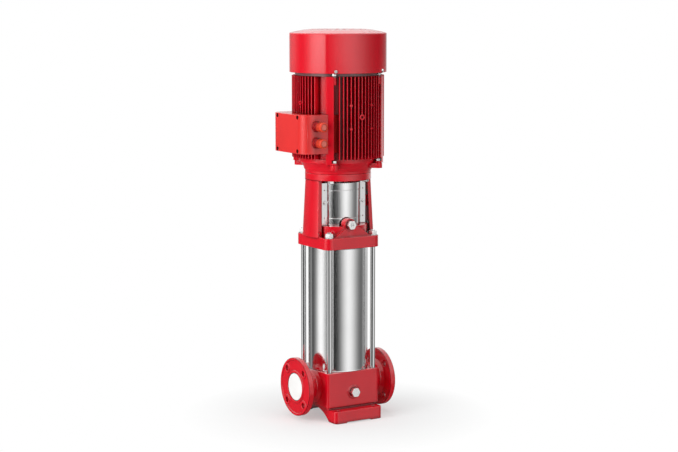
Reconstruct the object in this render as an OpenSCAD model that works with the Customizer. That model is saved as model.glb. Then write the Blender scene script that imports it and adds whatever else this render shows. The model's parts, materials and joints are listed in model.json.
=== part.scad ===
// Vertical in-line multistage jockey pump with a flanged electric motor on top.
// Millimetres. +Z is up, the origin is on the floor under the pump axis.
// Water comes in at the -X flange and leaves at the +X flange.
// The drain and vent plugs face -Y and the terminal box is on the -X side of the motor.

/* [Base casting] */
// Length of the foot along X
foot_w = 174; // [166:1:186]
// Depth of the foot along Y
foot_d = 260; // [250:1:280]
// Height of the foot
foot_h = 39; // [36:1:44]
// Radius of the upright corners of the foot
foot_corner_r = 14; // [8:1:20]
// Half the width of the arch under the ports, at the floor
arch_half = 87; // [80:1:92]
// Height of the arch at its middle
arch_h = 36; // [28:1:37]
// Spacing of the foot bolt holes along X
foot_hole_x = 130; // [120:1:136]
// Spacing of the foot bolt holes along Y
foot_hole_y = 222; // [220:1:226]
// Diameter of the foot bolt holes
foot_hole_d = 14; // [11:1:15]
// Width of the square block above the foot
block_w = 190; // [188:1:198]
// Radius of the upright corners of the block
block_corner_r = 10; // [6:1:12]
// Height of the top of the block above the floor
base_h = 155; // [150:1:165]
// Height of the undercut between foot and block
waist_h = 6; // [4:1:8]
// Depth of the undercut between foot and block
waist_inset = 5; // [3:1:7]

/* [Ports] */
// Distance between the faces of the two port flanges
port_span = 320; // [310:5:350]
// Height of the port centre line above the floor
port_h = 105; // [102:1:110]
// Bore of the ports
port_d = 65; // [50:1:68]
// Outer diameter of the port flanges
flange_d = 185; // [180:1:200]
// Thickness of the port flanges
flange_t = 18; // [16:1:22]
// Bolt circle diameter of the port flanges
bolt_circle = 145; // [142:1:150]
// Diameter of the flange bolt holes
flange_hole_d = 18; // [16:1:19]
// How much wider the bolt holes of the outlet flange are drilled
outlet_hole_extra = 0.4; // [0.4:0.1:1]
// Outer diameter of the neck between block and flange
neck_d = 98; // [90:1:100]
// Outer diameter of the raised sealing ring on the flange face
face_ring_d = 104; // [100:1:106]
// Depth of the sunk annulus on the flange face
face_sunk = 2.5; // [1.5:0.5:4]
// Diameter of the white cover in each port
cover_d = 89; // [84:1:92]

/* [Plugs] */
// Hexagon of the drain plug, across flats
drain_af = 27; // [24:1:30]
// Height of the drain plug above the floor
drain_h = 89; // [86:1:96]
// Hexagon of the vent plug, across flats
vent_af = 26; // [22:1:28]
// Place of the vent plug along X
vent_x = -11; // [-16:1:16]
// Height of the vent plug above the seat of the motor stool
vent_rise = 39; // [36:1:42]

/* [Sleeve and rods] */
// Outer diameter of the sleeve
sleeve_d = 189; // [186:1:190]
// Wall of the sleeve
sleeve_t = 3; // [2:0.5:4]
// Length of the sleeve between base and head
sleeve_len = 392; // [350:1:460]
// Diameter of the tie rods
rod_d = 16; // [14:1:18]
// Distance of the tie rods from the axis along X and Y
rod_x = 80; // [79:0.5:81]
// Hexagon of the tie rod nuts, across flats
rod_nut_af = 24; // [22:1:25]
// Height of the tie rod nuts
rod_nut_h = 12; // [10:1:15]

/* [Pump head and motor stool] */
// Half the width of the head flange at the middle of its sides
head_half = 99; // [97:0.5:102]
// Thickness of the head flange
head_t = 36; // [30:1:42]
// Bulge of the sides of the head flange
head_bulge = 5; // [3:0.5:6]
// Radius of the drum that carries the shaft seal
drum_r = 92; // [88:1:94]
// Height of the drum above the head flange
drum_h = 34; // [30:1:40]
// Height of the windows in the stool
window_h = 143; // [130:1:170]
// Outer radius of the stool legs at their top
leg_r_top = 103; // [100:1:104]
// Outer radius of the stool legs at their foot
leg_r_foot = 113; // [108:1:118]
// Thickness of the stool legs
leg_t = 11; // [8:1:12]
// Half the width of a stool leg at its top
leg_half_top = 41; // [39:1:46]
// Half the width of a stool leg at its foot
leg_half_foot = 49; // [44:1:54]
// Outer radius of the flange on top of the stool
stool_flange_r = 104.6; // [104:0.2:110]
// Thickness of the flange on top of the stool
stool_flange_t = 21; // [18:1:26]

/* [Coupling guards] */
// Outer radius of the curved part of a guard
guard_r = 70; // [66:1:72]
// Thickness of the guard sheet
guard_t = 1.2; // [1:0.1:2]
// Distance of the flat strips of a guard from the axis along Y
guard_y = 34; // [30:1:38]
// Half the width over both flat strips of a guard
guard_half = 80; // [76:1:81]
// Length of the screws that hold the guards
guard_screw_len = 12; // [10:1:20]

/* [Shafts and coupling] */
// Diameter of the pump shaft
pump_shaft_d = 22; // [18:1:26]
// Diameter of the motor shaft
motor_shaft_d = 42; // [38:1:44]
// Diameter of the motor shaft in the upper bearing
upper_journal_d = 30; // [26:1:32]
// Outer diameter of the coupling
coupling_d = 80; // [76:1:90]
// Length of the coupling
coupling_len = 110; // [100:1:116]
// Diameter of the coupling screws
coupling_screw_d = 8; // [6:1:10]

/* [Stages] */
// Number of impellers
stages = 5; // [4:1:6]
// Outer diameter of a stage chamber
chamber_d = 144; // [136:1:146]
// Wall of a stage chamber
chamber_t = 2; // [1.5:0.5:3]
// Outer diameter of an impeller
impeller_d = 120; // [110:1:124]
// Height of an impeller at its rim
impeller_h = 20; // [16:1:24]
// Number of vanes in an impeller
impeller_vanes = 6; // [5:1:8]
// Radius of the curve of an impeller vane
vane_r = 58; // [50:1:70]

/* [Motor frame] */
// Length of the ribbed motor frame
frame_len = 256; // [230:1:320]
// Radius over the cooling ribs
rib_r = 145; // [140:1:147]
// Radius of the motor frame between the ribs
frame_root_r = 118; // [116:1:122]
// Bore radius of the motor frame
frame_bore_r = 110.3; // [108:0.1:112]
// Thickness of a cooling rib at its root
rib_t = 4.6; // [3.5:0.1:6]
// Thickness of a cooling rib at its tip
rib_tip_t = 3.2; // [2.5:0.1:4.5]
// Angle between neighbouring cooling ribs, in degrees
rib_pitch = 4.87; // [4.6:0.01:4.9]
// Number of ribs on each side of the middle rib of a group
ribs_each_side = 6; // [4:1:6]
// Radius of the smooth band beside each pad
band_r = 122; // [120:1:126]

/* [End shields] */
// Height of the drive end shield
shield_h = 49; // [44:1:60]
// Radius of the rim of the drive end shield
shield_rim_r = 124; // [122:1:130]
// Distance of the shield bolts from the motor axis
shield_bolt_ring_r = 136; // [135:0.5:137]
// Angle of the shield bolts from the Y axis, in degrees
shield_bolt_angle = 36; // [35.6:0.1:36.4]
// Diameter of the shield bolts
shield_bolt_d = 8; // [6:1:8]
// Height of a lug on the drive end shield
lug_h = 16; // [12:1:20]
// Width of a lug on the drive end shield
lug_w = 26; // [22:1:30]
// Thickness of the rim of the upper end shield
upper_rim_t = 9.5; // [8:0.5:12]

/* [Fan and fan cover] */
// Outer diameter of the fan cover
fan_cover_d = 304.8; // [302:0.4:310]
// Height of the fan cover up to its shoulder
fan_cover_h = 122.5; // [116:0.5:150]
// Rise of the crown above the shoulder
crown_h = 10; // [6:1:16]
// Sheet thickness of the fan cover
fan_cover_t = 2; // [1.5:0.5:3]
// Radius of the rounded shoulder of the fan cover
shoulder_r = 12; // [8:1:16]
// Outer radius of the fan
fan_r = 118; // [100:1:130]
// Number of fan blades
fan_blades = 8; // [6:1:12]
// Height of the fan blades
fan_h = 52; // [40:1:60]

/* [Terminal box] */
// Distance of the face of the terminal cover from the motor axis
box_reach = 183.5; // [180:0.5:195]
// Width of the terminal box along Y
box_w = 210; // [204:1:216]
// Height of the terminal box
box_h = 120; // [112:1:130]
// Height of the middle of the box above the lower end of the motor frame
box_rise = 80; // [76:1:100]
// Radius of the upright corners of the terminal box
box_corner_r = 40; // [30:1:44]
// Thickness of the terminal cover
box_cover_t = 16; // [12:1:20]
// Thickness of the gasket under the terminal cover
gasket_t = 1.5; // [1:0.5:3]
// Wall of the terminal box
box_wall = 8; // [6:1:9]
// Spacing of the two cable glands
gland_pitch = 50; // [46:1:56]
// Outer diameter of a cable gland
gland_d = 32; // [28:1:34]

/* [Fits] */
// Gap round a piece that doesn't move in its seat
seat_gap = 0.2; // [0.1:0.05:0.3]
// Gap round a shaft in its bearing or a plug in its hole
run_gap = 0.05; // [0.02:0.01:0.08]
// Gap between pieces that come apart
part_gap = 0.3; // [0.2:0.1:0.5]

/* [Hidden] */
$fn = 96;
eps = 1;

// Colours
red = [0.80, 0.05, 0.10];
steel = [0.78, 0.79, 0.80];
zinc = [0.86, 0.87, 0.86];
white = [0.95, 0.95, 0.95];
black = [0.08, 0.08, 0.09];
copper = [0.72, 0.40, 0.18];
brass = [0.80, 0.65, 0.30];
orange = [0.85, 0.22, 0.08];

// Levels from the floor up
head_z = base_h + sleeve_len;
head_top = head_z + head_t;
window_z = head_top + drum_h;
window_top = window_z + window_h;
stool_top = window_top + stool_flange_t;
frame_z = stool_top + shield_h;
frame_top = frame_z + frame_len;
upper_top = frame_top + upper_rim_t;
cover_shoulder = upper_top + fan_cover_h;
cover_top = cover_shoulder + crown_h;

// Base
arch_r = (arch_half * arch_half + arch_h * arch_h) / (2 * arch_h);
block_face = block_w / 2;
flange_x = port_span / 2;
flange_r = flange_d / 2;
neck_r = neck_d / 2;
neck_flare = 10;
relief_w = 88;
relief_h = 3;
rim_w = 8.5;
boss_r = 16;
cover_t = 2.5;
cover_sunk = 1.5;
cover_r = cover_d / 2;
cover_seat = cover_t + cover_sunk;
spigot_h = 8;
sleeve_r = sleeve_d / 2;
sleeve_bore_r = sleeve_r - sleeve_t;
spigot_r = sleeve_bore_r - part_gap;
spigot_wall = 8;
oring_t = 3;
oring_gap = 0.1;
oring_seat_r = sleeve_bore_r - oring_t - 2 * oring_gap;
oring_r = oring_seat_r + oring_gap + oring_t / 2;
eye_r = 35;
eye_depth = 24;
outlet_slot = [26, 48];
outlet_slot_x = spigot_r - spigot_wall - 3;
outlet_slot_z = port_h - port_d / 4;
collar_t = 2;
collar_r = port_d / 2 - part_gap;
flange_chamfer = 1.5;
rod_r = rod_d / 2;
rod_screwed = 26;
rod_hole_r = rod_r + seat_gap;
bead_h = 4;
bead_rise = 1.5;

// Plugs
plug_boss_r = 21;
plug_boss_t = 2;
washer_t = 2;
drain_hole_r = 10.5;
drain_shank = 20;
drain_head = 13;
vent_hole_r = 9;
vent_shank = 16;
vent_head = 12;
vent_z = head_top + vent_rise;
vent_boss_r = 20;
vent_face_y = drum_r;
vent_boss_len = 22;
spindle_r = 3.5;
spindle_head_r = 5;
spindle_head = 4;
vent_duct_r = 3;
vent_hole_end = 2;

// Head, stool and guards
side_r = (rod_x * rod_x + head_bulge * head_bulge) / (2 * head_bulge) + rod_x;
head_corner_r = 24;
drum_bore_r = 45;
drum_floor = 5;
seal_r = 30;
rod_nut_washer_t = 2.5;
rod_end = 4;
stool_bore_r = 60;
flange_bolt_ring_r = 90;
flange_bolt_r = 6;
flange_bolt_af = 19;
flange_bolt_head = 8;
flange_bolt_deep = 16;
lug_gap = 0.1;
guard_z = window_z + 0.5;
guard_top = window_top - flange_bolt_head - 1;
guard_mid = (window_z + window_top) / 2;
guard_bead_in = 23;
guard_bead_w = 2;
guard_bead_deep = 0.4;
guard_half_angle = acos(guard_y / guard_r);
guard_screw_x = 70.5;
guard_screw_r = 2.5;
guard_screw_head = 3.5;
guard_screw_head_r = 5;
stool_lug_h = 36;
stool_lug_in = guard_half - 17;

// Shafts and coupling
pump_shaft_r = pump_shaft_d / 2;
motor_shaft_r = motor_shaft_d / 2;
journal_r = upper_journal_d / 2;
coupling_r = coupling_d / 2;
coupling_z = guard_mid - coupling_len / 2;
coupling_slit = 2;
shaft_split = 3;
coupling_screw_y = coupling_r - coupling_screw_d - 3;
coupling_screw_in = 20;
screw_head_depth = coupling_screw_d;
coupling_pin_r = 4;
coupling_pin_in = 38;

// Stages
inlet_part_h = 26;
stack_z = base_h + inlet_part_h;
stage_h = (sleeve_len - inlet_part_h - spigot_h - 2) / stages;
chamber_r = chamber_d / 2;
chamber_eye_r = 30;
impeller_r = impeller_d / 2;
impeller_z = 8;
shroud_t = 2;
hub_r = 16;
hub_h = impeller_h + impeller_z - 4;
spacer_r = 14;
guide_z = impeller_z + impeller_h + 6;
strap = [20, 2];
bearing_wall = 4;
bearing_seat_r = pump_shaft_r + bearing_wall + seat_gap;
spider_wall = 6;
seal_flange = [10, 8];
seal_collar_wall = 9;
seal_collar_h = 14;

// Motor
bearing_t = 22;
lower_bearing_r = 45;
lower_bearing_z = stool_top + 9;
upper_bearing_r = 36;
upper_bearing_t = 19;
upper_bearing_z = frame_top - 6;
core_in = 30;
core_len = frame_len - 76;
core_z = frame_z + core_in;
stator_bore_r = 75;
rotor_core_r = stator_bore_r - 0.5;
stator_r = frame_bore_r - part_gap;
winding_h = 22;
pad_from = shield_bolt_angle + 0.2;
pad_to = pad_from + 10.2;
band_to = 59;
rib_root = 3;
shield_bolt_af = 13;
shield_bolt_head = 7;
shield_bolt_len = 18;
frame_ear_t = 6;
frame_ear_drop = 10;
frame_ear_z = frame_z - frame_ear_drop - frame_ear_t;
frame_ear_r = lug_w / 2 - 2;
frame_ear_clear = 0.5;
shield_spigot_h = 5;
frame_boss_r = 7.5;
frame_boss_h = 22;
upper_lug_t = 6;
upper_lug_z = upper_top - shield_bolt_head - 0.5 - upper_lug_t;
upper_rim_r = rib_r - 10;
front_boss = [9, 4, 14];
front_boss_z = frame_z + frame_len / 2 + 3;
side_boss = [7, 3, 12];
side_boss_z = frame_top - 83;
front_pad_r = 4.5;
front_pad_rise = 36;
boss_proud = 0.5;
upper_spigot_h = 10;
bearing_hub_wall = 9;
bearing_hub_h = 8;
bearing_back = 5;
shaft_clear = 2;
cover_foot = [12, 16, 16];

// Fan and fan cover
fan_cover_r = fan_cover_d / 2;
crown_r = fan_cover_r - shoulder_r;
flat_r = 90;
grille_rows = [[34, 12, 12], [66, 20, 14]];
grille_slot_w = 9;
fan_z = upper_top + 18;
fan_hub_r = 26;
blade_t = 3;
cover_screw_z = upper_top + 6;
cover_screw_angle = 33.5;
cover_screw_r = 3;
cover_screw_len = 12;
grille_deep = 20;

// Terminal box
box_z = frame_z + box_rise;
box_bottom = box_z - box_h / 2;
box_front = box_reach - box_cover_t;
box_seam = box_front - gasket_t;
box_back = frame_root_r + 2.5;
box_floor = box_back + 7;
box_screw = [box_w / 2 - box_corner_r - 3, box_h / 2 - 8];
box_screw_r = 3;
box_screw_head_r = 5.5;
box_screw_sunk = 3.5;
box_screw_head = 5;
gland_x = (box_floor + box_seam) / 2 - 8;
gland_r = gland_d / 2;
gland_sunk = 2;
gland_collar = 9 + gland_sunk;
gland_hex = 9;
gland_nut_len = 27;
gland_thread_r = 12;
gland_bore_r = 9;
gland_shoulder = gland_collar + gland_hex;
gland_end_chamfer = 4;
gland_nut_r = gland_r - 0.6;
plug_flange_z = gland_shoulder + gland_nut_len * 0.7;
board = [8, 84, 56];
terminal_stud_r = 2.5;
terminal_stud_len = 12;

// Helpers

// Flat ring standing on z = 0
module ring(r_out, r_in, h) {
  difference() {
    cylinder(r = r_out, h = h);
    translate([0, 0, -eps]) cylinder(r = r_in, h = h + 2 * eps);
  }
}

// Outline of a rectangle with round corners, centred
module rounded(w, d, r) {
  square([w - 2 * r, d], center = true);
  square([w, d - 2 * r], center = true);
  for (x = [-1, 1], y = [-1, 1])
    translate([x * (w / 2 - r), y * (d / 2 - r)]) circle(r = r);
}

// Plate with round corners standing on z = 0
module slab(w, d, h, r) {
  linear_extrude(height = h) rounded(w, d, r);
}

// Hexagon prism standing on z = 0, af is across its flats
module hexagon(af, h) {
  cylinder(r = af / sqrt(3), h = h, $fn = 6);
}

// Hexagon with its upper corners turned off, standing on z = 0
module turned_hexagon(af, h) {
  intersection() {
    hexagon(af, h);
    translate([0, 0, -eps]) cylinder(r1 = af * 0.66, r2 = af * 0.53, h = h + 2 * eps);
  }
}

// Children at the four tie rods
module at_rods() {
  for (x = [-1, 1], y = [-1, 1])
    translate([x * rod_x, y * rod_x, 0]) children();
}

// Children at the four shield bolts of the motor
module at_shield_bolts() {
  for (a = [-1, 1], side = [0, 180])
    rotate([0, 0, side + a * shield_bolt_angle]) translate([0, -shield_bolt_ring_r, 0]) children();
}

// Children at the four bolts between stool and motor
module at_flange_bolts() {
  for (a = [45 : 90 : 315])
    rotate([0, 0, a]) translate([flange_bolt_ring_r, 0, 0]) children();
}

// Child turned so that its +Z points along -Y, with z = 0 at distance y from the axis
module facing_front(x, y, z) {
  translate([x, -y, z]) rotate([90, 0, 0]) children();
}

// Child turned so that its +Z points along +X or -X, with z = 0 at distance x from the axis
module facing_side(side, x, z) {
  translate([side * x, 0, z]) rotate([0, side * 90, 0]) children();
}

// Round bar with a small chamfer at its free end, standing on z = 0
module bar(r, h, chamfer) {
  cylinder(r = r, h = h - chamfer);
  translate([0, 0, h - chamfer]) cylinder(r1 = r, r2 = r - chamfer, h = chamfer);
}

// Disc with both rims chamfered, standing on z = 0
module disc(r, h, chamfer) {
  cylinder(r1 = r - chamfer, r2 = r, h = chamfer);
  translate([0, 0, chamfer]) cylinder(r = r, h = h - 2 * chamfer);
  translate([0, 0, h - chamfer]) cylinder(r1 = r, r2 = r - chamfer, h = chamfer);
}

// Base casting

// One port: flange and neck, along +Z
module port_body() {
  translate([0, 0, -flange_t]) disc(flange_r, flange_t, flange_chamfer);
  translate([0, 0, block_face - flange_x - eps])
    cylinder(r = neck_r, h = flange_x - block_face - flange_t + 2 * eps);
  translate([0, 0, block_face - flange_x - eps])
    cylinder(r1 = neck_r + neck_flare, r2 = neck_r, h = neck_flare + eps);
  translate([0, 0, -flange_t - neck_flare])
    cylinder(r1 = neck_r, r2 = neck_r + neck_flare, h = neck_flare + eps);
}

// What is cut from a port: the sunk face between bosses and sealing ring, the bolt holes and the cover's seat
module port_cuts(hole_d) {
  translate([0, 0, -face_sunk]) difference() {
    ring(flange_r - rim_w, face_ring_d / 2, face_sunk + eps);
    for (a = [45 : 90 : 315])
      rotate([0, 0, a]) translate([bolt_circle / 2, 0, -eps]) cylinder(r = boss_r, h = face_sunk + 3 * eps);
  }
  for (a = [45 : 90 : 315])
    rotate([0, 0, a]) translate([bolt_circle / 2, 0, -flange_t - neck_flare - eps])
      cylinder(d = hole_d, h = flange_t + neck_flare + 2 * eps);
  translate([0, 0, -cover_seat]) cylinder(r = cover_r + part_gap, h = cover_seat + eps);
}

// Both ports, cut level with the block beside the sleeve
module ports() {
  difference() {
    for (side = [-1, 1]) facing_side(side, flange_x, port_h) port_body();
    translate([-block_face - neck_flare, -flange_r, base_h])
      cube([2 * (block_face + neck_flare), 2 * flange_r, flange_r]);
  }
}

module base_casting() {
  waist = block_w - 2 * waist_inset;
  color(red) difference() {
    union() {
      slab(foot_w, foot_d, foot_h, foot_corner_r);
      translate([0, 0, foot_h - eps]) slab(waist, waist, waist_h + 2 * eps, block_corner_r);
      translate([0, 0, foot_h + waist_h])
        slab(block_w, block_w, base_h - foot_h - waist_h, block_corner_r);
      ports();
      translate([0, 0, base_h - eps]) cylinder(r = spigot_r, h = spigot_h + eps);
      facing_front(0, block_face - eps, drain_h) cylinder(r = plug_boss_r, h = plug_boss_t + eps);
    }
    // Arch along X between the front and the rear foot
    translate([0, 0, arch_h - arch_r]) rotate([0, 90, 0])
      cylinder(r = arch_r, h = foot_w + 2 * eps, center = true);
    // Shallow relief that leaves four pads under the foot
    translate([-relief_w / 2, -foot_d, -eps]) cube([relief_w, 2 * foot_d, relief_h + eps]);
    // Foot bolt holes
    for (x = [-1, 1], y = [-1, 1])
      translate([x * foot_hole_x / 2, y * foot_hole_y / 2, -eps])
        cylinder(d = foot_hole_d, h = foot_h + 2 * eps);
    facing_side(-1, flange_x, port_h) port_cuts(flange_hole_d);
    facing_side(1, flange_x, port_h) port_cuts(flange_hole_d + outlet_hole_extra);
    // Way in: along the port and up through the eye
    translate([0, 0, port_h]) rotate([0, -90, 0]) cylinder(d = port_d, h = flange_x + eps);
    translate([0, 0, port_h - eye_depth])
      cylinder(r = eye_r, h = base_h + spigot_h - port_h + eye_depth + eps);
    // Way out: down from the ring space round the stages and along the port
    translate([outlet_slot_x - outlet_slot[0], -outlet_slot[1] / 2, outlet_slot_z])
      cube([outlet_slot[0], outlet_slot[1], base_h + spigot_h - outlet_slot_z + eps]);
    translate([outlet_slot_x - outlet_slot[0] + eps, 0, port_h]) rotate([0, 90, 0])
      cylinder(d = port_d, h = flange_x - outlet_slot_x + outlet_slot[0]);
    // Room for the stages inside the spigot
    translate([0, 0, base_h]) cylinder(r = spigot_r - spigot_wall, h = spigot_h + eps);
    translate([0, 0, base_h + spigot_h / 2 - oring_t / 2 - oring_gap])
      ring(spigot_r + eps, oring_seat_r, oring_t + 2 * oring_gap);
    at_rods() translate([0, 0, base_h - rod_screwed]) cylinder(r = rod_hole_r, h = rod_screwed + eps);
    facing_front(0, eye_r - eps, drain_h)
      cylinder(r = drain_hole_r, h = block_face - eye_r + plug_boss_t + 2 * eps);
  }
}

// White cover of a port: a disc with a short collar that centres it in the bore
module port_cover(side) {
  facing_side(side, flange_x, port_h) {
    translate([0, 0, -cover_seat]) cylinder(r = cover_r, h = cover_t);
    translate([0, 0, -cover_seat - spigot_h]) ring(collar_r, collar_r - collar_t, spigot_h + cover_t / 2);
  }
}

module inlet_cover() {
  color(white) port_cover(-1);
}

module outlet_cover() {
  color(white) port_cover(1);
}

module drain_plug() {
  color(zinc) facing_front(0, block_face + plug_boss_t + washer_t, drain_h) {
    turned_hexagon(drain_af, drain_head);
    translate([0, 0, -drain_shank]) cylinder(r = drain_hole_r - run_gap, h = drain_shank + eps);
  }
}

module drain_seal() {
  color(black) facing_front(0, block_face + plug_boss_t, drain_h)
    ring(drain_af * 0.55, drain_hole_r + seat_gap, washer_t);
}

// Sleeve and rods

module outer_sleeve() {
  color(steel) {
    translate([0, 0, base_h]) ring(sleeve_r, sleeve_bore_r, sleeve_len);
    for (z = [base_h, head_z - bead_h])
      translate([0, 0, z]) ring(sleeve_r + bead_rise, sleeve_r - eps, bead_h);
  }
}

module sealing_ring(z) {
  color(black) translate([0, 0, z]) rotate_extrude() translate([oring_r, 0]) circle(d = oring_t, $fn = 32);
}

module base_oring() {
  sealing_ring(base_h + spigot_h / 2);
}

module head_oring() {
  sealing_ring(head_z - spigot_h / 2);
}

module tie_rods() {
  color(steel) at_rods() translate([0, 0, base_h - rod_screwed])
    bar(rod_r, sleeve_len + head_t + rod_screwed + rod_nut_washer_t + rod_nut_h + rod_end, 1.5);
}

module tie_rod_washers() {
  color(zinc) at_rods() translate([0, 0, head_top])
    ring(rod_nut_af * 0.6, rod_r + seat_gap, rod_nut_washer_t);
}

module tie_rod_nuts() {
  color(zinc) at_rods() translate([0, 0, head_top + rod_nut_washer_t]) difference() {
    turned_hexagon(rod_nut_af, rod_nut_h);
    translate([0, 0, -eps]) cylinder(r = rod_r + seat_gap, h = rod_nut_h + 2 * eps);
  }
}

// Pump head and motor stool in one casting

// Square flange whose four sides bulge a little
module head_flange() {
  intersection() {
    slab(2 * head_half, 2 * head_half, head_t, head_corner_r);
    for (a = [0 : 90 : 270])
      rotate([0, 0, a]) translate([head_half - side_r, 0, -eps])
        cylinder(r = side_r, h = head_t + 2 * eps, $fn = 360);
  }
}

// Both legs: a cone shell that the slanted windows leave standing at -X and +X
module stool_legs() {
  h = stool_top - head_top;
  translate([0, 0, head_top - eps]) intersection() {
    difference() {
      cylinder(r1 = leg_r_foot, r2 = leg_r_top, h = h - eps);
      translate([0, 0, -eps]) cylinder(r1 = leg_r_foot - leg_t, r2 = leg_r_top - leg_t, h = h + eps);
    }
    rotate([90, 0, 90]) linear_extrude(height = 3 * leg_r_foot, center = true)
      polygon([[-leg_half_foot, 0], [leg_half_foot, 0], [leg_half_top, h], [-leg_half_top, h]]);
  }
}

// Lugs inside the legs that take the guard screws
module guard_lugs() {
  for (side = [-1, 1]) intersection() {
    translate([side * (stool_lug_in + leg_r_foot) / 2, 0, guard_mid])
      cube([leg_r_foot - stool_lug_in, 2 * (guard_y - lug_gap), stool_lug_h], center = true);
    translate([0, 0, window_z]) cylinder(r = leg_r_top - leg_t / 2, h = window_h);
  }
}

// Slanted buttress on the drum below a window
module buttress() {
  foot = drum_r * 0.72;
  top = drum_r * 0.27;
  translate([0, 1 - drum_r, head_top - eps]) rotate([90, 0, 0]) translate([0, 0, -leg_half_foot])
    linear_extrude(height = leg_half_foot)
      polygon([[-foot, 0], [foot, 0], [top, drum_h - 4], [-top, drum_h - 4]]);
}

module motor_stool() {
  color(red) difference() {
    union() {
      translate([0, 0, head_z]) head_flange();
      translate([0, 0, head_z - spigot_h]) cylinder(r = spigot_r, h = spigot_h + eps);
      translate([0, 0, head_top - eps]) cylinder(r = drum_r, h = drum_h + eps);
      for (turn = [0, 180]) rotate([0, 0, turn]) buttress();
      stool_legs();
      guard_lugs();
      translate([0, 0, window_top]) ring(stool_flange_r, stool_bore_r, stool_flange_t);
      facing_front(vent_x, vent_face_y - vent_boss_len, vent_z) cylinder(r = vent_boss_r, h = vent_boss_len);
    }
    // Seat of the shaft seal and way for the shaft
    translate([0, 0, head_top + drum_floor]) cylinder(r = drum_bore_r, h = drum_h);
    translate([0, 0, head_z - spigot_h - eps]) cylinder(r = seal_r + seat_gap, h = head_t + drum_h);
    // Ring space under the head that brings the water down again
    translate([0, 0, head_z - spigot_h - eps]) ring(spigot_r - spigot_wall, seal_r + 12, spigot_h + eps);
    translate([0, 0, head_z - spigot_h / 2 - oring_t / 2 - oring_gap])
      ring(spigot_r + eps, oring_seat_r, oring_t + 2 * oring_gap);
    at_rods() translate([0, 0, head_z - eps]) cylinder(r = rod_r + 3 * seat_gap, h = head_t + 2 * eps);
    at_rods() translate([0, 0, head_top]) cylinder(r = rod_nut_af * 0.66, h = drum_h);
    at_flange_bolts() translate([0, 0, window_top - eps])
      cylinder(r = flange_bolt_r + 3 * seat_gap, h = stool_flange_t + 2 * eps);
    // Vent hole, with a duct down to the stages
    facing_front(vent_x, vent_face_y - vent_shank - vent_hole_end, vent_z)
      cylinder(r = vent_hole_r, h = vent_shank + vent_hole_end + eps);
    translate([vent_x, vent_shank - vent_face_y, head_z - spigot_h - eps])
      cylinder(r = vent_duct_r, h = vent_z - head_z + spigot_h);
    for (side = [-1, 1]) translate([side * guard_screw_x, 0, guard_mid]) rotate([90, 0, 0])
      cylinder(r = guard_screw_r + seat_gap, h = 3 * guard_y, center = true);
  }
}

module vent_plug() {
  color(zinc) facing_front(vent_x, vent_face_y + washer_t, vent_z) difference() {
    union() {
      turned_hexagon(vent_af, vent_head);
      translate([0, 0, -vent_shank]) cylinder(r = vent_hole_r - run_gap, h = vent_shank + eps);
    }
    translate([0, 0, -vent_shank - eps])
      cylinder(r = spindle_r + run_gap, h = vent_shank + vent_head + 2 * eps);
    translate([0, 0, vent_head - spindle_head])
      cylinder(r = spindle_head_r + part_gap, h = spindle_head + eps);
  }
}

module vent_seal() {
  color(black) facing_front(vent_x, vent_face_y, vent_z)
    ring(vent_af * 0.55, vent_hole_r + seat_gap, washer_t);
}

// Screw in the middle of the vent plug that lets the air out, with a slot for a driver
module vent_spindle() {
  color(brass) facing_front(vent_x, vent_face_y + washer_t, vent_z) difference() {
    union() {
      translate([0, 0, -vent_shank]) cylinder(r = spindle_r, h = vent_shank + vent_head - spindle_head + eps);
      translate([0, 0, vent_head - spindle_head + lug_gap]) cylinder(r = spindle_head_r, h = spindle_head);
    }
    translate([0, 0, vent_head]) cube([3 * spindle_head_r, 1.4, 2.4], center = true);
  }
}

// Coupling guards

// Wedge that holds the curved part of a guard, opening towards -Y
module guard_wedge() {
  reach = 2 * guard_r;
  translate([0, 0, guard_z - eps]) linear_extrude(height = guard_top - guard_z + 2 * eps)
    polygon([[0, 0], [-reach * sin(guard_half_angle), -reach * cos(guard_half_angle)], [-reach, -reach * 2],
      [reach, -reach * 2], [reach * sin(guard_half_angle), -reach * cos(guard_half_angle)]]);
}

module guard_sheet() {
  bend_x = guard_r * sin(guard_half_angle) - 1.5;
  difference() {
    union() {
      intersection() {
        translate([0, 0, guard_z]) ring(guard_r, guard_r - guard_t, guard_top - guard_z);
        guard_wedge();
      }
      for (side = [-1, 1])
        translate([side * (guard_half + bend_x) / 2, -guard_y - guard_t / 2, (guard_z + guard_top) / 2])
          cube([guard_half - bend_x, guard_t, guard_top - guard_z], center = true);
    }
    for (z = [guard_z + guard_bead_in, guard_top - guard_bead_in])
      translate([0, 0, z - guard_bead_w / 2]) ring(guard_r + eps, guard_r - guard_bead_deep, guard_bead_w);
    for (side = [-1, 1]) {
      translate([side * guard_screw_x, -guard_y, guard_mid]) rotate([90, 0, 0])
        cylinder(r = guard_screw_r + seat_gap, h = 4 * guard_t, center = true);
      for (z = [guard_z + guard_bead_in, guard_top - guard_bead_in])
        translate([side * guard_screw_x, -guard_y, z]) rotate([90, 0, 0])
          cylinder(r = 1.8, h = 4 * guard_t, center = true);
    }
  }
}

module guard_screws() {
  for (side = [-1, 1]) translate([side * guard_screw_x, -guard_y - guard_t, guard_mid]) rotate([90, 0, 0]) {
    translate([0, 0, -guard_screw_len]) cylinder(r = guard_screw_r, h = guard_screw_len + eps);
    difference() {
      cylinder(r1 = guard_screw_head_r, r2 = guard_screw_head_r - 1, h = guard_screw_head);
      translate([0, 0, guard_screw_head]) cube([3 * guard_screw_head_r, 1.4, 2.4], center = true);
    }
  }
}

// The front guard is notched round the vent boss, so that it can be taken off
module guard_front() {
  color(steel) difference() {
    guard_sheet();
    facing_front(vent_x, 0, vent_z) cylinder(r = vent_boss_r + 2, h = 2 * guard_r);
    translate([vent_x - vent_boss_r - 2, -2 * guard_r, guard_z - eps])
      cube([2 * vent_boss_r + 4, 2 * guard_r, vent_z - guard_z + eps]);
  }
}

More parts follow.
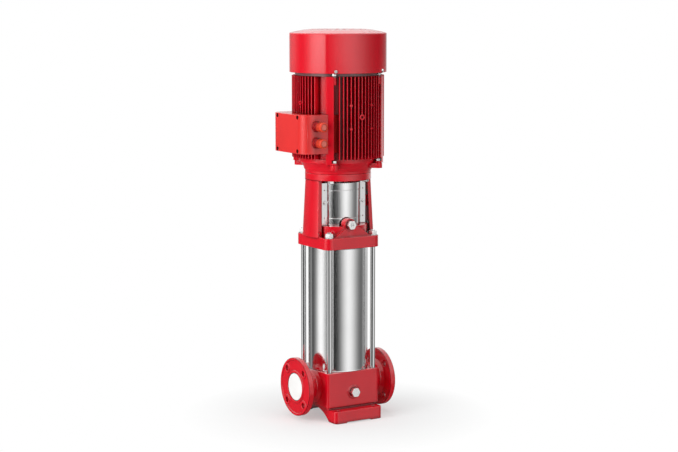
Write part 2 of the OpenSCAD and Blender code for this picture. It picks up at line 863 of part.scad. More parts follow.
module guard_rear() {
  color(steel) rotate([0, 0, 180]) guard_sheet();
}

module guard_screws_front() {
  color(zinc) guard_screws();
}

module guard_screws_rear() {
  color(zinc) rotate([0, 0, 180]) guard_screws();
}

// Pump inside the sleeve

// Spider on the base that carries the lower bearing
module inlet_part() {
  color(steel) translate([0, 0, base_h]) {
    ring(chamber_r, chamber_r - 2 * chamber_t, inlet_part_h);
    ring(chamber_r, eye_r, 2 * chamber_t);
    ring(bearing_seat_r + spider_wall, bearing_seat_r, inlet_part_h - 2);
    for (a = [0 : 120 : 240]) rotate([0, 0, a])
      translate([bearing_seat_r + spider_wall / 2, -chamber_t, 0])
        cube([chamber_r - chamber_t - bearing_seat_r - spider_wall / 2, 2 * chamber_t, inlet_part_h / 2]);
  }
}

module pump_bearing() {
  color(black) translate([0, 0, base_h + 1])
    ring(pump_shaft_r + bearing_wall, pump_shaft_r + run_gap, inlet_part_h - 3);
}

// Cup with an eye in its floor and a guide wheel that carries the next stage
module stage_chamber() {
  ring(chamber_r, chamber_eye_r, chamber_t);
  ring(chamber_r, chamber_r - chamber_t, stage_h - seat_gap);
  translate([0, 0, guide_z]) ring(impeller_r - 2, spacer_r + 3, chamber_t);
  for (a = [0 : 60 : 300]) rotate([0, 0, a])
    translate([spacer_r + 4, -1, guide_z]) cube([chamber_r - spacer_r - 5, 2, stage_h - guide_z - 4]);
}

module stage_chambers() {
  color(steel) for (i = [0 : stages - 1]) translate([0, 0, stack_z + i * stage_h]) stage_chamber();
}

module chamber_straps() {
  color(steel) for (side = [-1, 1])
    translate([0, side * (chamber_r + seat_gap + strap[1] / 2), base_h + (sleeve_len - spigot_h) / 2])
      cube([strap[0], strap[1], sleeve_len - spigot_h - 2], center = true);
}

module pump_shaft() {
  color(steel) difference() {
    translate([0, 0, base_h + 3]) cylinder(r = pump_shaft_r, h = guard_mid - shaft_split / 2 - base_h - 3);
    translate([0, 0, coupling_z + coupling_pin_in]) rotate([0, 90, 0])
      cylinder(r = coupling_pin_r + seat_gap, h = 3 * pump_shaft_r, center = true);
  }
}

// Backswept vanes seen from above: each is a piece of a thin ring that bends from the hub to the rim
module vanes() {
  for (i = [0 : impeller_vanes - 1]) rotate(i * 360 / impeller_vanes) intersection() {
    translate([hub_r / 2, vane_r]) difference() {
      circle(r = vane_r + shroud_t / 2);
      circle(r = vane_r - shroud_t / 2);
    }
    difference() {
      circle(r = impeller_r - eps);
      circle(r = hub_r - eps);
    }
    translate([0, -impeller_r / 2]) square([impeller_r, 1.5 * impeller_r]);
  }
}

// Closed impeller: neck ring, two shrouds, hub and vanes
module impeller() {
  difference() {
    union() {
      translate([0, 0, 0.5]) ring(chamber_eye_r - 0.4, chamber_eye_r - 2.4, impeller_z);
      translate([0, 0, impeller_z]) ring(impeller_r, chamber_eye_r - 2.4, shroud_t);
      translate([0, 0, impeller_z + impeller_h - shroud_t]) cylinder(r = impeller_r, h = shroud_t);
      translate([0, 0, 4]) cylinder(r = hub_r, h = hub_h);
      translate([0, 0, impeller_z + eps]) linear_extrude(height = impeller_h - shroud_t - eps / 2) vanes();
    }
    cylinder(r = pump_shaft_r + seat_gap, h = 2 * impeller_h + impeller_z);
  }
}

module impellers() {
  color(steel) for (i = [0 : stages - 1]) translate([0, 0, stack_z + i * stage_h]) impeller();
}

module impeller_spacers() {
  color(steel) for (i = [0 : stages - 1])
    translate([0, 0, stack_z + i * stage_h + 4 + hub_h])
      ring(spacer_r, pump_shaft_r + seat_gap, stage_h - hub_h);
}

// Still part of the shaft seal, sunk in the head
module seal_cartridge() {
  color(zinc) translate([0, 0, head_top + drum_floor]) {
    translate([0, 0, -head_t + 4]) ring(seal_r, pump_shaft_r + 1, head_t - 4);
    ring(seal_r + seal_flange[0], pump_shaft_r + 1, seal_flange[1]);
  }
}

// Turning part of the shaft seal, clamped on the shaft
module seal_collar() {
  color(steel) translate([0, 0, head_top + drum_floor + seal_flange[1] + 2])
    ring(pump_shaft_r + seal_collar_wall, pump_shaft_r + seat_gap, seal_collar_h);
}

// Half of the coupling on the +X side, with its screw holes
module coupling_half() {
  translate([0, 0, coupling_z]) difference() {
    cylinder(r = coupling_r, h = coupling_len);
    translate([coupling_slit / 2 - 2 * coupling_r, -2 * coupling_r, -eps])
      cube([2 * coupling_r, 4 * coupling_r, coupling_len + 2 * eps]);
    translate([0, 0, -eps]) cylinder(r = pump_shaft_r + seat_gap, h = coupling_len);
    translate([0, 0, coupling_len / 2]) cylinder(r = motor_shaft_r + seat_gap, h = coupling_len);
    for (y = [-1, 1], z = [coupling_screw_in, coupling_len - coupling_screw_in])
      translate([0, y * coupling_screw_y, z]) rotate([0, 90, 0]) {
        cylinder(r = coupling_screw_d / 2 + seat_gap, h = coupling_r);
        translate([0, 0, coupling_r / 2 - 2]) cylinder(r = coupling_screw_d * 0.85, h = coupling_r);
      }
    translate([0, 0, coupling_pin_in]) rotate([0, 90, 0])
      cylinder(r = coupling_pin_r + seat_gap, h = coupling_r / 2);
  }
}

module coupling_half_right() {
  color(zinc) coupling_half();
}

module coupling_half_left() {
  color(zinc) mirror([1, 0, 0]) coupling_half();
}

// Socket screws along X that clamp the halves, each with a nut at its end
module coupling_screws() {
  seat = coupling_r / 2 - 2;
  color(zinc) for (y = [-1, 1], z = [coupling_screw_in, coupling_len - coupling_screw_in])
    translate([-seat, y * coupling_screw_y, coupling_z + z]) rotate([0, 90, 0]) {
      difference() {
        translate([0, 0, -screw_head_depth]) cylinder(r = coupling_screw_d * 0.75, h = screw_head_depth);
        translate([0, 0, -screw_head_depth - eps])
          hexagon(coupling_screw_d * 0.75, screw_head_depth / 2 + eps);
      }
      translate([0, 0, -eps]) cylinder(r = coupling_screw_d / 2, h = 2 * seat + 2 * eps);
      translate([0, 0, 2 * seat]) cylinder(r = coupling_screw_d * 0.75, h = screw_head_depth * 0.8);
    }
}

module coupling_pin() {
  color(steel) translate([0, 0, coupling_z + coupling_pin_in]) rotate([0, 90, 0])
    cylinder(r = coupling_pin_r, h = coupling_r - 2, center = true);
}

// Motor

// Bell that carries the motor on the stool, with four lugs for the clamping studs
module drive_end_shield() {
  color(red) difference() {
    union() {
      rotate_extrude() polygon([[0, stool_top], [leg_r_top + 1, stool_top], [leg_r_top + 1.5, stool_top + 9],
        [leg_r_top + 4, stool_top + 11], [leg_r_top + 6, stool_top + 19], [leg_r_top + 10, stool_top + 25],
        [leg_r_top + 14, stool_top + 31], [shield_rim_r, stool_top + 35], [shield_rim_r, frame_z],
        [0, frame_z]]);
      at_shield_bolts() translate([0, 0, frame_ear_z - lug_h]) {
        cylinder(r = lug_w / 2, h = lug_h);
        translate([-lug_w / 2, 0, 0]) cube([lug_w, shield_bolt_ring_r - leg_r_top + 6, lug_h]);
      }
      translate([0, 0, frame_z - eps]) cylinder(r = frame_bore_r - seat_gap, h = shield_spigot_h);
    }
    translate([0, 0, stool_top - eps]) cylinder(r = motor_shaft_r + shaft_clear, h = shield_h);
    translate([0, 0, lower_bearing_z]) cylinder(r = lower_bearing_r + seat_gap, h = shield_h);
    translate([0, 0, lower_bearing_z + bearing_t + 6]) cylinder(r = frame_bore_r - 8, h = shield_h);
    at_flange_bolts() translate([0, 0, stool_top - eps])
      cylinder(r = flange_bolt_r + seat_gap, h = flange_bolt_deep + 2 * eps);
    at_shield_bolts() translate([0, 0, frame_ear_z - lug_h - eps])
      cylinder(r = shield_bolt_d / 2 + seat_gap, h = lug_h + 2 * eps);
  }
}

// Outline of a sector of a disc from angle a to angle b, measured from -Y towards +X
module sector(r, a, b) {
  intersection() {
    circle(r = r);
    polygon([[0, 0], [2 * r * sin(a), -2 * r * cos(a)], [2 * r * sin(b), -2 * r * cos(b)]]);
  }
}

// Cross section of the ribbed frame: tapered ribs in four groups, with a pad and a smooth band between them
module frame_section() {
  difference() {
    union() {
      circle(r = frame_root_r);
      for (group = [0 : 90 : 270], i = [-ribs_each_side : ribs_each_side])
        rotate(group + i * rib_pitch) translate([frame_root_r - rib_root, 0])
          polygon([[0, -rib_t / 2], [rib_r - frame_root_r + rib_root, -rib_tip_t / 2],
            [rib_r - frame_root_r + rib_root, rib_tip_t / 2], [0, rib_t / 2]]);
      for (half = [0, 180], flip = [0, 1]) rotate(half) mirror([flip, 0]) {
        sector(rib_r, pad_from, pad_to);
        sector(band_r, pad_to - 1, band_to);
      }
    }
    circle(r = frame_bore_r);
  }
}

// Outline of the terminal box seen from above, reaching from the motor axis to its face
module box_outline(gap) {
  translate([-box_reach / 2, 0]) intersection() {
    translate([box_reach / 4, 0]) rounded(1.5 * box_reach + 2 * gap, box_w + 2 * gap, box_corner_r);
    square([box_reach + 2 * gap, 2 * box_w], center = true);
  }
}

module motor_frame() {
  color(red) difference() {
    union() {
      translate([0, 0, frame_z]) linear_extrude(height = frame_len) frame_section();
      // Ears below and bosses above for the shield bolts
      translate([0, 0, frame_ear_z]) linear_extrude(height = frame_z - frame_ear_z + eps) difference() {
        for (half = [0, 180], flip = [0, 1]) rotate(half) mirror([flip, 0]) sector(rib_r, pad_from, pad_to);
        circle(r = shield_rim_r + part_gap);
      }
      difference() {
        at_shield_bolts() translate([0, 0, frame_ear_z]) cylinder(r = frame_ear_r, h = frame_ear_t);
        translate([0, 0, frame_ear_z - eps]) cylinder(r = shield_rim_r + part_gap, h = frame_ear_t + 2 * eps);
      }
      at_shield_bolts() translate([0, 0, upper_lug_z - frame_boss_h])
        cylinder(r = frame_boss_r, h = frame_boss_h);
      // Boss with a tapped hole on the front, and a smaller one on the left
      facing_front(0, 0, front_boss_z) cylinder(r = front_boss[0], h = rib_r + boss_proud);
      rotate([0, 0, rib_pitch - 90]) facing_front(0, 0, side_boss_z)
        cylinder(r = side_boss[0], h = rib_r + boss_proud);
      // Four small pads on the front ribs
      for (side = [-1, 1], z = [-1, 1]) rotate([0, 0, side * 3 * rib_pitch])
        facing_front(0, 0, front_boss_z + z * front_pad_rise)
          cylinder(r = front_pad_r, h = rib_r + boss_proud);
    }
    translate([0, 0, frame_z - eps]) cylinder(r = frame_bore_r, h = frame_len + 2 * eps);
    at_shield_bolts() translate([0, 0, frame_ear_z - eps])
      cylinder(r = shield_bolt_d / 2 + seat_gap, h = frame_ear_t + 2 * eps);
    at_shield_bolts() translate([0, 0, frame_z - frame_ear_drop])
      cylinder(r = frame_ear_r, h = frame_ear_drop - frame_ear_clear);
    at_shield_bolts() translate([0, 0, upper_lug_z]) cylinder(r = frame_boss_r + part_gap, h = frame_len);
    at_shield_bolts() translate([0, 0, upper_lug_z - frame_boss_h + 4])
      cylinder(r = shield_bolt_d / 2 + seat_gap, h = frame_boss_h);
    // Room for the terminal box
    translate([0, 0, box_bottom - part_gap]) linear_extrude(height = box_h + 2 * part_gap) difference() {
      box_outline(part_gap);
      circle(r = box_back - part_gap);
    }
    // Tapped holes of both bosses
    facing_front(0, rib_r - front_boss[2], front_boss_z) cylinder(r = front_boss[1], h = 2 * front_boss[2]);
    rotate([0, 0, rib_pitch - 90]) facing_front(0, rib_r - side_boss[2], side_boss_z)
      cylinder(r = side_boss[1], h = 2 * side_boss[2]);
  }
}

// Plate that closes the motor above, with lugs for the studs and for the fan cover
module upper_end_shield() {
  color(red) difference() {
    union() {
      translate([0, 0, frame_top]) cylinder(r = upper_rim_r, h = upper_rim_t);
      translate([0, 0, frame_top - upper_spigot_h])
        cylinder(r = frame_bore_r - seat_gap, h = upper_spigot_h + eps);
      translate([0, 0, frame_top])
        cylinder(r = upper_bearing_r + bearing_hub_wall, h = upper_rim_t + bearing_hub_h);
      at_shield_bolts() translate([0, 0, upper_lug_z]) cylinder(r = frame_boss_r, h = upper_lug_t);
      for (a = [-1, 1], half = [0, 180]) rotate([0, 0, half + a * cover_screw_angle])
        translate([-cover_foot[0] / 2, -fan_cover_r + fan_cover_t + part_gap, upper_top - fan_cover_t])
          cube([cover_foot[0], fan_cover_r - upper_rim_r + cover_foot[1], cover_foot[2]]);
    }
    // Way for the shaft and seat of the bearing
    translate([0, 0, frame_top - upper_spigot_h - eps])
      cylinder(r = journal_r + shaft_clear, h = upper_spigot_h + upper_rim_t + bearing_hub_h + 2 * eps);
    translate([0, 0, upper_bearing_z - bearing_back])
      cylinder(r = upper_bearing_r + seat_gap, h = upper_bearing_t + bearing_back);
    translate([0, 0, frame_top - upper_spigot_h - eps])
      cylinder(r = motor_shaft_r + shaft_clear, h = upper_bearing_z - frame_top + upper_spigot_h);
    at_shield_bolts() translate([0, 0, upper_lug_z - eps])
      cylinder(r = shield_bolt_d / 2 + 2 * seat_gap, h = upper_lug_t + 2 * eps);
    at_shield_bolts() translate([0, 0, upper_lug_z + upper_lug_t])
      cylinder(r = shield_bolt_af * 0.66, h = upper_rim_t);
    for (a = [-1, 1], half = [0, 180]) rotate([0, 0, half + a * cover_screw_angle])
      facing_front(0, fan_cover_r - cover_screw_len - 2, cover_screw_z)
        cylinder(r = cover_screw_r + seat_gap, h = 2 * cover_screw_len);
  }
}

module stator_core() {
  color([0.45, 0.45, 0.47]) translate([0, 0, core_z]) ring(stator_r, stator_bore_r, core_len);
}

module stator_windings() {
  color(copper) for (z = [core_z - winding_h - part_gap, core_z + core_len + part_gap])
    translate([0, 0, z]) ring(stator_r - 8, stator_bore_r + 4, winding_h);
}

module rotor_core() {
  color([0.55, 0.55, 0.57]) {
    translate([0, 0, core_z]) ring(rotor_core_r, motor_shaft_r + seat_gap, core_len);
    for (z = [core_z - 10, core_z + core_len - eps])
      translate([0, 0, z]) ring(rotor_core_r - 6, motor_shaft_r + 18, 11);
  }
}

module motor_shaft() {
  color(steel) {
    translate([0, 0, guard_mid + shaft_split / 2])
      cylinder(r = motor_shaft_r, h = upper_bearing_z - shaft_clear - guard_mid);
    translate([0, 0, upper_bearing_z - eps])
      cylinder(r = journal_r, h = fan_z + fan_h - upper_bearing_z + eps);
  }
}

module lower_bearing() {
  color(steel) translate([0, 0, lower_bearing_z]) ring(lower_bearing_r, motor_shaft_r + run_gap, bearing_t);
}

module upper_bearing() {
  color(steel) translate([0, 0, upper_bearing_z]) ring(upper_bearing_r, journal_r + run_gap, upper_bearing_t);
}

// Hexagon bolt with its head standing on z = 0
module shield_bolt() {
  rotate([0, 0, 30]) hexagon(shield_bolt_af, shield_bolt_head);
  translate([0, 0, -shield_bolt_len]) cylinder(r = shield_bolt_d / 2, h = shield_bolt_len + eps);
}

module shield_bolts_lower() {
  color(zinc) at_shield_bolts() translate([0, 0, frame_ear_z + frame_ear_t]) shield_bolt();
}

module shield_bolts_upper() {
  color(zinc) at_shield_bolts() translate([0, 0, upper_lug_z + upper_lug_t]) shield_bolt();
}

module motor_flange_bolts() {
  color(zinc) at_flange_bolts() {
    translate([0, 0, window_top - flange_bolt_head]) hexagon(flange_bolt_af, flange_bolt_head);
    translate([0, 0, window_top - eps]) cylinder(r = flange_bolt_r, h = stool_flange_t + flange_bolt_deep);
  }
}

module fan() {
  color(black) translate([0, 0, fan_z]) difference() {
    union() {
      cylinder(r = fan_hub_r, h = fan_h - 6);
      cylinder(r = fan_r * 0.72, h = blade_t);
      for (i = [0 : fan_blades - 1]) rotate([0, 0, i * 360 / fan_blades])
        translate([fan_hub_r - 2, -blade_t / 2, 0]) cube([fan_r - fan_hub_r + 2, blade_t, fan_h]);
    }
    translate([0, 0, -eps]) cylinder(r = journal_r + seat_gap, h = 2 * fan_h);
  }
}

// Half section of the fan cover, r along x: skirt, rounded shoulder and crown
module cover_profile(inset) {
  r = fan_cover_r - inset;
  shoulder = cover_shoulder - inset;
  translate([0, upper_top - inset]) square([r, shoulder - upper_top - shoulder_r + 2 * inset]);
  translate([r - shoulder_r + inset, shoulder - shoulder_r + inset]) circle(r = shoulder_r - inset);
  translate([0, upper_top]) square([r - shoulder_r + inset, shoulder - upper_top]);
  polygon([[0, shoulder - eps], [crown_r, shoulder - eps], [crown_r, shoulder],
    [crown_r - 14, shoulder + crown_h * 0.5], [crown_r - 32, shoulder + crown_h * 0.86],
    [flat_r, shoulder + crown_h], [0, shoulder + crown_h]]);
}

module fan_cover() {
  color(red) difference() {
    rotate_extrude() intersection() {
      cover_profile(0);
      square([2 * fan_cover_r, 2 * cover_top]);
    }
    rotate_extrude() intersection() {
      cover_profile(fan_cover_t);
      square([2 * fan_cover_r, 2 * cover_top]);
    }
    // Air slots in two rings round a plain middle
    for (row = grille_rows, i = [0 : row[1] - 1]) rotate([0, 0, i * 360 / row[1]])
      translate([row[0] + row[2], 0, cover_top])
        cube([2 * row[2], grille_slot_w, grille_deep], center = true);
    for (a = [-1, 1], half = [0, 180]) rotate([0, 0, half + a * cover_screw_angle])
      facing_front(0, fan_cover_r - cover_screw_len, cover_screw_z)
        cylinder(r = cover_screw_r + seat_gap, h = 2 * cover_screw_len);
  }
}

module fan_cover_screws() {
  color(zinc) for (a = [-1, 1], half = [0, 180]) rotate([0, 0, half + a * cover_screw_angle])
    facing_front(0, fan_cover_r, cover_screw_z) {
      cylinder(r1 = 2 * cover_screw_r - 0.5, r2 = 2 * cover_screw_r - 1.5, h = 3);
      translate([0, 0, -cover_screw_len]) cylinder(r = cover_screw_r, h = cover_screw_len + eps);
    }
}

// Terminal box

// Slice of the box outline between two distances from the motor axis
module box_slice(near, far) {
  translate([0, 0, box_bottom]) linear_extrude(height = box_h) intersection() {
    box_outline(0);
    translate([-far, -box_w]) square([far - near, 2 * box_w]);
  }
}

// Children at the four cover screws, +Z pointing along -X
module at_box_screws(x) {
  for (y = [-1, 1], z = [-1, 1])
    translate([-x, y * box_screw[0], box_z + z * box_screw[1]]) rotate([0, -90, 0]) children();
}

module terminal_box() {
  pocket_w = 2 * box_screw[0] - 4 * box_screw_r - 2;
  color(red) difference() {
    box_slice(0, box_seam);
    translate([0, 0, box_bottom - eps]) cylinder(r = box_back, h = box_h + 2 * eps);
    // Room for the wiring, from the seam to the floor of the box
    translate([-box_seam - eps, -pocket_w / 2, box_bottom + box_wall])
      cube([box_seam - box_floor + eps, pocket_w, box_h - 2 * box_wall]);
    translate([-box_seam + 6, box_wall - box_w / 2, box_bottom + 3 * box_wall])
      cube([box_seam - box_floor - 6, box_w - 2 * box_wall, box_h - 6 * box_wall]);
    for (z = [-1, 1]) facing_front(-gland_x, box_w / 2 - 2 * box_wall, box_z + z * gland_pitch / 2)
      cylinder(r = gland_thread_r + seat_gap, h = 3 * box_wall);
    for (z = [-1, 1]) facing_front(-gland_x, box_w / 2 - gland_sunk, box_z + z * gland_pitch / 2)
      cylinder(r = gland_r + part_gap, h = box_wall);
    at_box_screws(box_seam - 14) cylinder(r = box_screw_r + seat_gap, h = 20);
  }
}

module terminal_gasket() {
  color(black) difference() {
    box_slice(box_seam, box_front);
    translate([-box_front - eps, -box_screw[0] + 2 * box_screw_r + 1, box_bottom + box_wall])
      cube([gasket_t + 2 * eps, 2 * box_screw[0] - 4 * box_screw_r - 2, box_h - 2 * box_wall]);
    at_box_screws(box_seam - eps) cylinder(r = box_screw_r + 3 * seat_gap, h = 10);
  }
}

module terminal_cover() {
  color(red) difference() {
    box_slice(box_front, box_reach);
    translate([-box_front - box_cover_t / 2, -box_screw[0] + 4 * box_screw_r, box_bottom + 2 * box_wall])
      cube([box_cover_t / 2 + eps, 2 * box_screw[0] - 8 * box_screw_r, box_h - 4 * box_wall]);
    at_box_screws(box_front - eps) cylinder(r = box_screw_r + 2 * seat_gap, h = 2 * box_cover_t);
    at_box_screws(box_reach - box_screw_sunk - box_screw_head) cylinder(r = box_screw_head_r + 1, h = 20);
  }
}

module terminal_cover_screws() {
  color(black) at_box_screws(box_reach - box_screw_sunk - box_screw_head) {
    difference() {
      cylinder(r = box_screw_head_r, h = box_screw_head);
      translate([0, 0, box_screw_head / 2]) hexagon(5, box_screw_head);
    }
    translate([0, 0, -box_cover_t - 2]) cylinder(r = box_screw_r, h = box_cover_t + 2 + eps);
  }
}

module terminal_board() {
  color(black) translate([-box_floor - board[0] / 2, 0, box_z]) difference() {
    cube(board, center = true);
    for (y = [-1, 0, 1], z = [-1, 1]) translate([0, y * board[1] / 3.4, z * board[2] / 4]) rotate([0, 90, 0])
      cylinder(r = terminal_stud_r + seat_gap, h = 3 * board[0], center = true);
  }
}

module terminal_studs() {
  color(brass) for (y = [-1, 0, 1], z = [-1, 1])
    translate([-box_floor, y * board[1] / 3.4, box_z + z * board[2] / 4]) rotate([0, -90, 0]) {
      cylinder(r = terminal_stud_r, h = board[0] + terminal_stud_len);
      translate([0, 0, board[0]]) hexagon(8, 5);
    }
}

// Children at the two cable glands, +Z pointing out of the box along -Y
module at_glands() {
  for (z = [-1, 1]) facing_front(-gland_x, box_w / 2 - gland_sunk, box_z + z * gland_pitch / 2) children();
}

module cable_glands() {
  color(orange) at_glands() difference() {
    union() {
      translate([0, 0, -box_wall - 6]) cylinder(r = gland_thread_r, h = box_wall + 7);
      cylinder(r = gland_r, h = gland_collar);
      translate([0, 0, gland_collar - eps]) hexagon(gland_d - 4, gland_hex + eps);
      translate([0, 0, gland_shoulder - eps]) cylinder(r = gland_thread_r, h = gland_nut_len * 0.6);
    }
    translate([0, 0, -box_wall - 6 - eps]) cylinder(r = gland_bore_r, h = 80);
  }
}

module gland_nuts() {
  color(orange) at_glands() translate([0, 0, gland_shoulder + part_gap]) difference() {
    union() {
      cylinder(r = gland_nut_r, h = gland_nut_len - gland_end_chamfer);
      translate([0, 0, gland_nut_len - gland_end_chamfer - eps / 2])
        cylinder(r1 = gland_nut_r, r2 = gland_r - gland_end_chamfer, h = gland_end_chamfer);
    }
    translate([0, 0, -eps]) cylinder(r = gland_thread_r + seat_gap, h = gland_nut_len * 0.65 + eps);
    cylinder(r = gland_bore_r + 1, h = 2 * gland_nut_len);
  }
}

// Blanking plugs that close the unused glands
module gland_plugs() {
  color(red) at_glands() {
    translate([0, 0, gland_shoulder]) cylinder(r = gland_bore_r - seat_gap, h = gland_nut_len - 2);
    translate([0, 0, plug_flange_z]) cylinder(r = gland_bore_r + 0.7, h = gland_nut_len * 0.24);
  }
}

base_casting();
inlet_cover();
outlet_cover();
drain_plug();
drain_seal();
outer_sleeve();
base_oring();
head_oring();
tie_rods();
tie_rod_washers();
tie_rod_nuts();
motor_stool();
vent_plug();
vent_seal();
vent_spindle();
guard_front();
guard_rear();
guard_screws_front();
guard_screws_rear();
inlet_part();
stage_chambers();
chamber_straps();
pump_bearing();
pump_shaft();
impellers();
impeller_spacers();
seal_cartridge();
seal_collar();
coupling_half_left();
coupling_half_right();
coupling_screws();
coupling_pin();
drive_end_shield();
motor_frame();
upper_end_shield();
stator_core();
stator_windings();
rotor_core();
motor_shaft();
lower_bearing();
upper_bearing();
shield_bolts_lower();
shield_bolts_upper();
motor_flange_bolts();
fan();
fan_cover();
fan_cover_screws();
terminal_box();
terminal_gasket();
terminal_cover();
terminal_cover_screws();
terminal_board();
terminal_studs();
cable_glands();
gland_nuts();
gland_plugs();
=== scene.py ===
"""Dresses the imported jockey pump: finishes, fine pieces, studio and camera."""
import json
from math import cos, hypot, pi, radians, sin

import bmesh
import bpy
from mathutils import Matrix, Vector


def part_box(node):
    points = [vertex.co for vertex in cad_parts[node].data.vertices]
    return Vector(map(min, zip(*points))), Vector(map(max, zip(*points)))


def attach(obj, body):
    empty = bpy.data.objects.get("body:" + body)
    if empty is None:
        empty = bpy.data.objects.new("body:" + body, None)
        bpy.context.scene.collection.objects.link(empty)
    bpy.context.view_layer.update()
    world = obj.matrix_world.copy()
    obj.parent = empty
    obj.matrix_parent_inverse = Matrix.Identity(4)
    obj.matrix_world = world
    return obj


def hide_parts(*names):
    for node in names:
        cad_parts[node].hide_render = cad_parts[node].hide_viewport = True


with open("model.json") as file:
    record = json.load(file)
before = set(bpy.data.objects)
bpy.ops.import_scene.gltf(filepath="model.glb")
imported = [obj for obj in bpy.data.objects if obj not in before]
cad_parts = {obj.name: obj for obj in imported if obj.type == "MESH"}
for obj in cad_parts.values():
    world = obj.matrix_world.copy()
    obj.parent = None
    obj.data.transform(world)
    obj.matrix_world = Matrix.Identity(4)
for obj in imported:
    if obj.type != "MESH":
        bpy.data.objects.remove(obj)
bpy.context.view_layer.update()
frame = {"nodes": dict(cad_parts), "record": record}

bl_info = {
    "name": "Jockey pump",
    "version": (1, 0, 0),
    "blender": (4, 5, 0),
    "location": "3D View > Sidebar > Jockey pump",
    "description": "Finishes, fine pieces and studio for the jockey pump",
    "category": "Object",
}

MM = 0.001
# Points of a form closer than MERGE are merged, and faces that turn by less than FLAT become one
MERGE = 0.002 * MM
FLAT = radians(0.4)
# Edges that turn by more than SHARP are rounded, and those left above CREASE are shaded as corners
SHARP = radians(28)
CREASE = radians(40)
FINISH = "_finish"
FINE = "_fine"
SLOT_OF = {part["node"]: part["material_slot"] for part in frame["record"]["subparts"]}
BODY_OF = {node: body for body, nodes in frame["record"]["behaviour"]["bodies"].items() for node in nodes}


# Nodes and finishes

# Stretch of a grain that runs along the pump's axis, and of one that runs round it
ALONG_Z = (1, 1, 0.02)
ROUND_Z = (0.02, 0.02, 1)


def add(tree, kind, inputs=None, **settings):
    """A new shader node with its settings, and the values or links of its sockets."""
    node = tree.nodes.new("ShaderNode" + kind)
    for name, value in settings.items():
        setattr(node, name, value)
    for name, value in (inputs or {}).items():
        if isinstance(value, bpy.types.NodeSocket):
            tree.links.new(value, node.inputs[name])
        else:
            node.inputs[name].default_value = value
    return node


def blank_material(name):
    """An empty node material and its tree."""
    material = bpy.data.materials.new(name)
    material.use_nodes = True
    material.node_tree.nodes.clear()
    return material, material.node_tree


def noise(tree, coords, scale, stretch=(1, 1, 1), detail=3.0):
    """The grey value of a noise over Object coordinates, stretched along an axis."""
    mapping = add(tree, "Mapping", {"Vector": coords, "Scale": stretch})
    inputs = {"Vector": mapping.outputs["Vector"], "Scale": scale, "Detail": detail}
    return add(tree, "TexNoise", inputs).outputs["Fac"]


def spread(tree, value, low, high):
    """The value, mapped from the middle of a noise onto low to high."""
    inputs = {"Value": value, "From Min": 0.3, "From Max": 0.7, "To Min": low, "To Max": high}
    return add(tree, "MapRange", inputs).outputs["Result"]


def painted_crevice_shade(tree, crevice, shade):
    """Painted shade for crevices: one on open surfaces, and down to shade where others crowd within the
    crevice's distance.
    """
    share = add(tree, "AmbientOcclusion", {"Distance": crevice}, samples=4).outputs["AO"]
    inputs = {"Value": share, "From Min": 0.3, "From Max": 0.95, "To Min": shade}
    return add(tree, "MapRange", inputs).outputs["Result"]


def finish(name, colour, roughness, metallic=0.0, mottle=0.06, mottle_scale=9.0, gloss_change=0.04,
           grain=260.0, stretch=(1, 1, 1), bump=0.08, bump_depth=0.12 * MM, edge=0.9 * MM,
           crevice=5 * MM, shade=0.35, **sockets):
    """A finish whose colour, gloss and relief all vary, with softly rounded edges and painted shade that
    darkens its colour in crevices.
    """
    material, tree = blank_material(name + FINISH)
    coords = add(tree, "TexCoord").outputs["Object"]
    cloud = spread(tree, noise(tree, coords, mottle_scale), 1 - mottle, 1 + mottle)
    fine = noise(tree, coords, grain, stretch, detail=4.0)
    # Painted shade: the colour is darkened in crevices, grooves and between parts, by how closely other
    # surfaces crowd round.
    value = add(tree, "Math", {0: cloud, 1: painted_crevice_shade(tree, crevice, shade)}, operation="MULTIPLY")
    tint = add(tree, "HueSaturation", {"Color": (*colour, 1.0), "Value": value.outputs[0]})
    rough = spread(tree, fine, roughness - gloss_change, roughness + gloss_change)
    rounded = add(tree, "Bevel", {"Radius": edge}, samples=6).outputs["Normal"]
    inputs = {"Strength": bump, "Distance": bump_depth, "Height": fine, "Normal": rounded}
    relief = add(tree, "Bump", inputs).outputs["Normal"]
    surface = {"Base Color": tint.outputs["Color"], "Roughness": rough, "Metallic": metallic,
               "Normal": relief, **sockets}
    shader = add(tree, "BsdfPrincipled", surface)
    add(tree, "OutputMaterial", {"Surface": shader.outputs["BSDF"]})


def paint(name, colour, roughness, **changes):
    """Gloss paint with a fine orange peel over a casting or sheet."""
    # The paints get a deeper painted shade that reaches further into crevices.
    values = {"bump": 0.12, "bump_depth": 0.15 * MM, "grain": 180.0, "gloss_change": 0.03,
              "crevice": 20 * MM, "shade": 0.4, "IOR": 1.65}
    finish(name, colour, roughness, **{**values, **changes})


def metal(name, colour, roughness, **changes):
    """Bare or plated metal."""
    finish(name, colour, roughness, 1.0, **{"mottle": 0.03, "gloss_change": 0.05, **changes})


def plastic(name, colour, roughness, **changes):
    """Moulded plastic, rubber or carbon."""
    finish(name, colour, roughness, **{"mottle": 0.04, "gloss_change": 0.05, "grain": 500.0, **changes})


def linear(*levels):
    """A screen colour from 0 to 255 as the linear colour that renders the same."""
    shares = [level / 255 for level in levels]
    return tuple(((v + 0.055) / 1.055) ** 2.4 if v > 0.04045 else v / 12.92 for v in shares)


def make_paints(look):
    """The paints of the castings, the motor, its upper end shield, its fan cover and the terminal box."""
    # The castings' painted shade is the darkest, so that the steps of their flanges show as dark lines.
    paint("cast_red", look.paint, 0.16, grain=140.0, bump_depth=0.3 * MM, crevice=14 * MM, shade=0.1)
    paint("motor_red", look.paint, 0.2, grain=150.0, bump_depth=0.25 * MM, IOR=1.5)
    paint("shield_red", look.shield_paint, 0.35)
    paint("fan_cover_red", look.paint, 0.1, bump_depth=0.1 * MM, mottle=0.03)
    # The box's paint carries a painted sheen of reflected white light.
    paint("box_red", look.box_paint_and_sheen, 0.2, bump_depth=0.1 * MM)


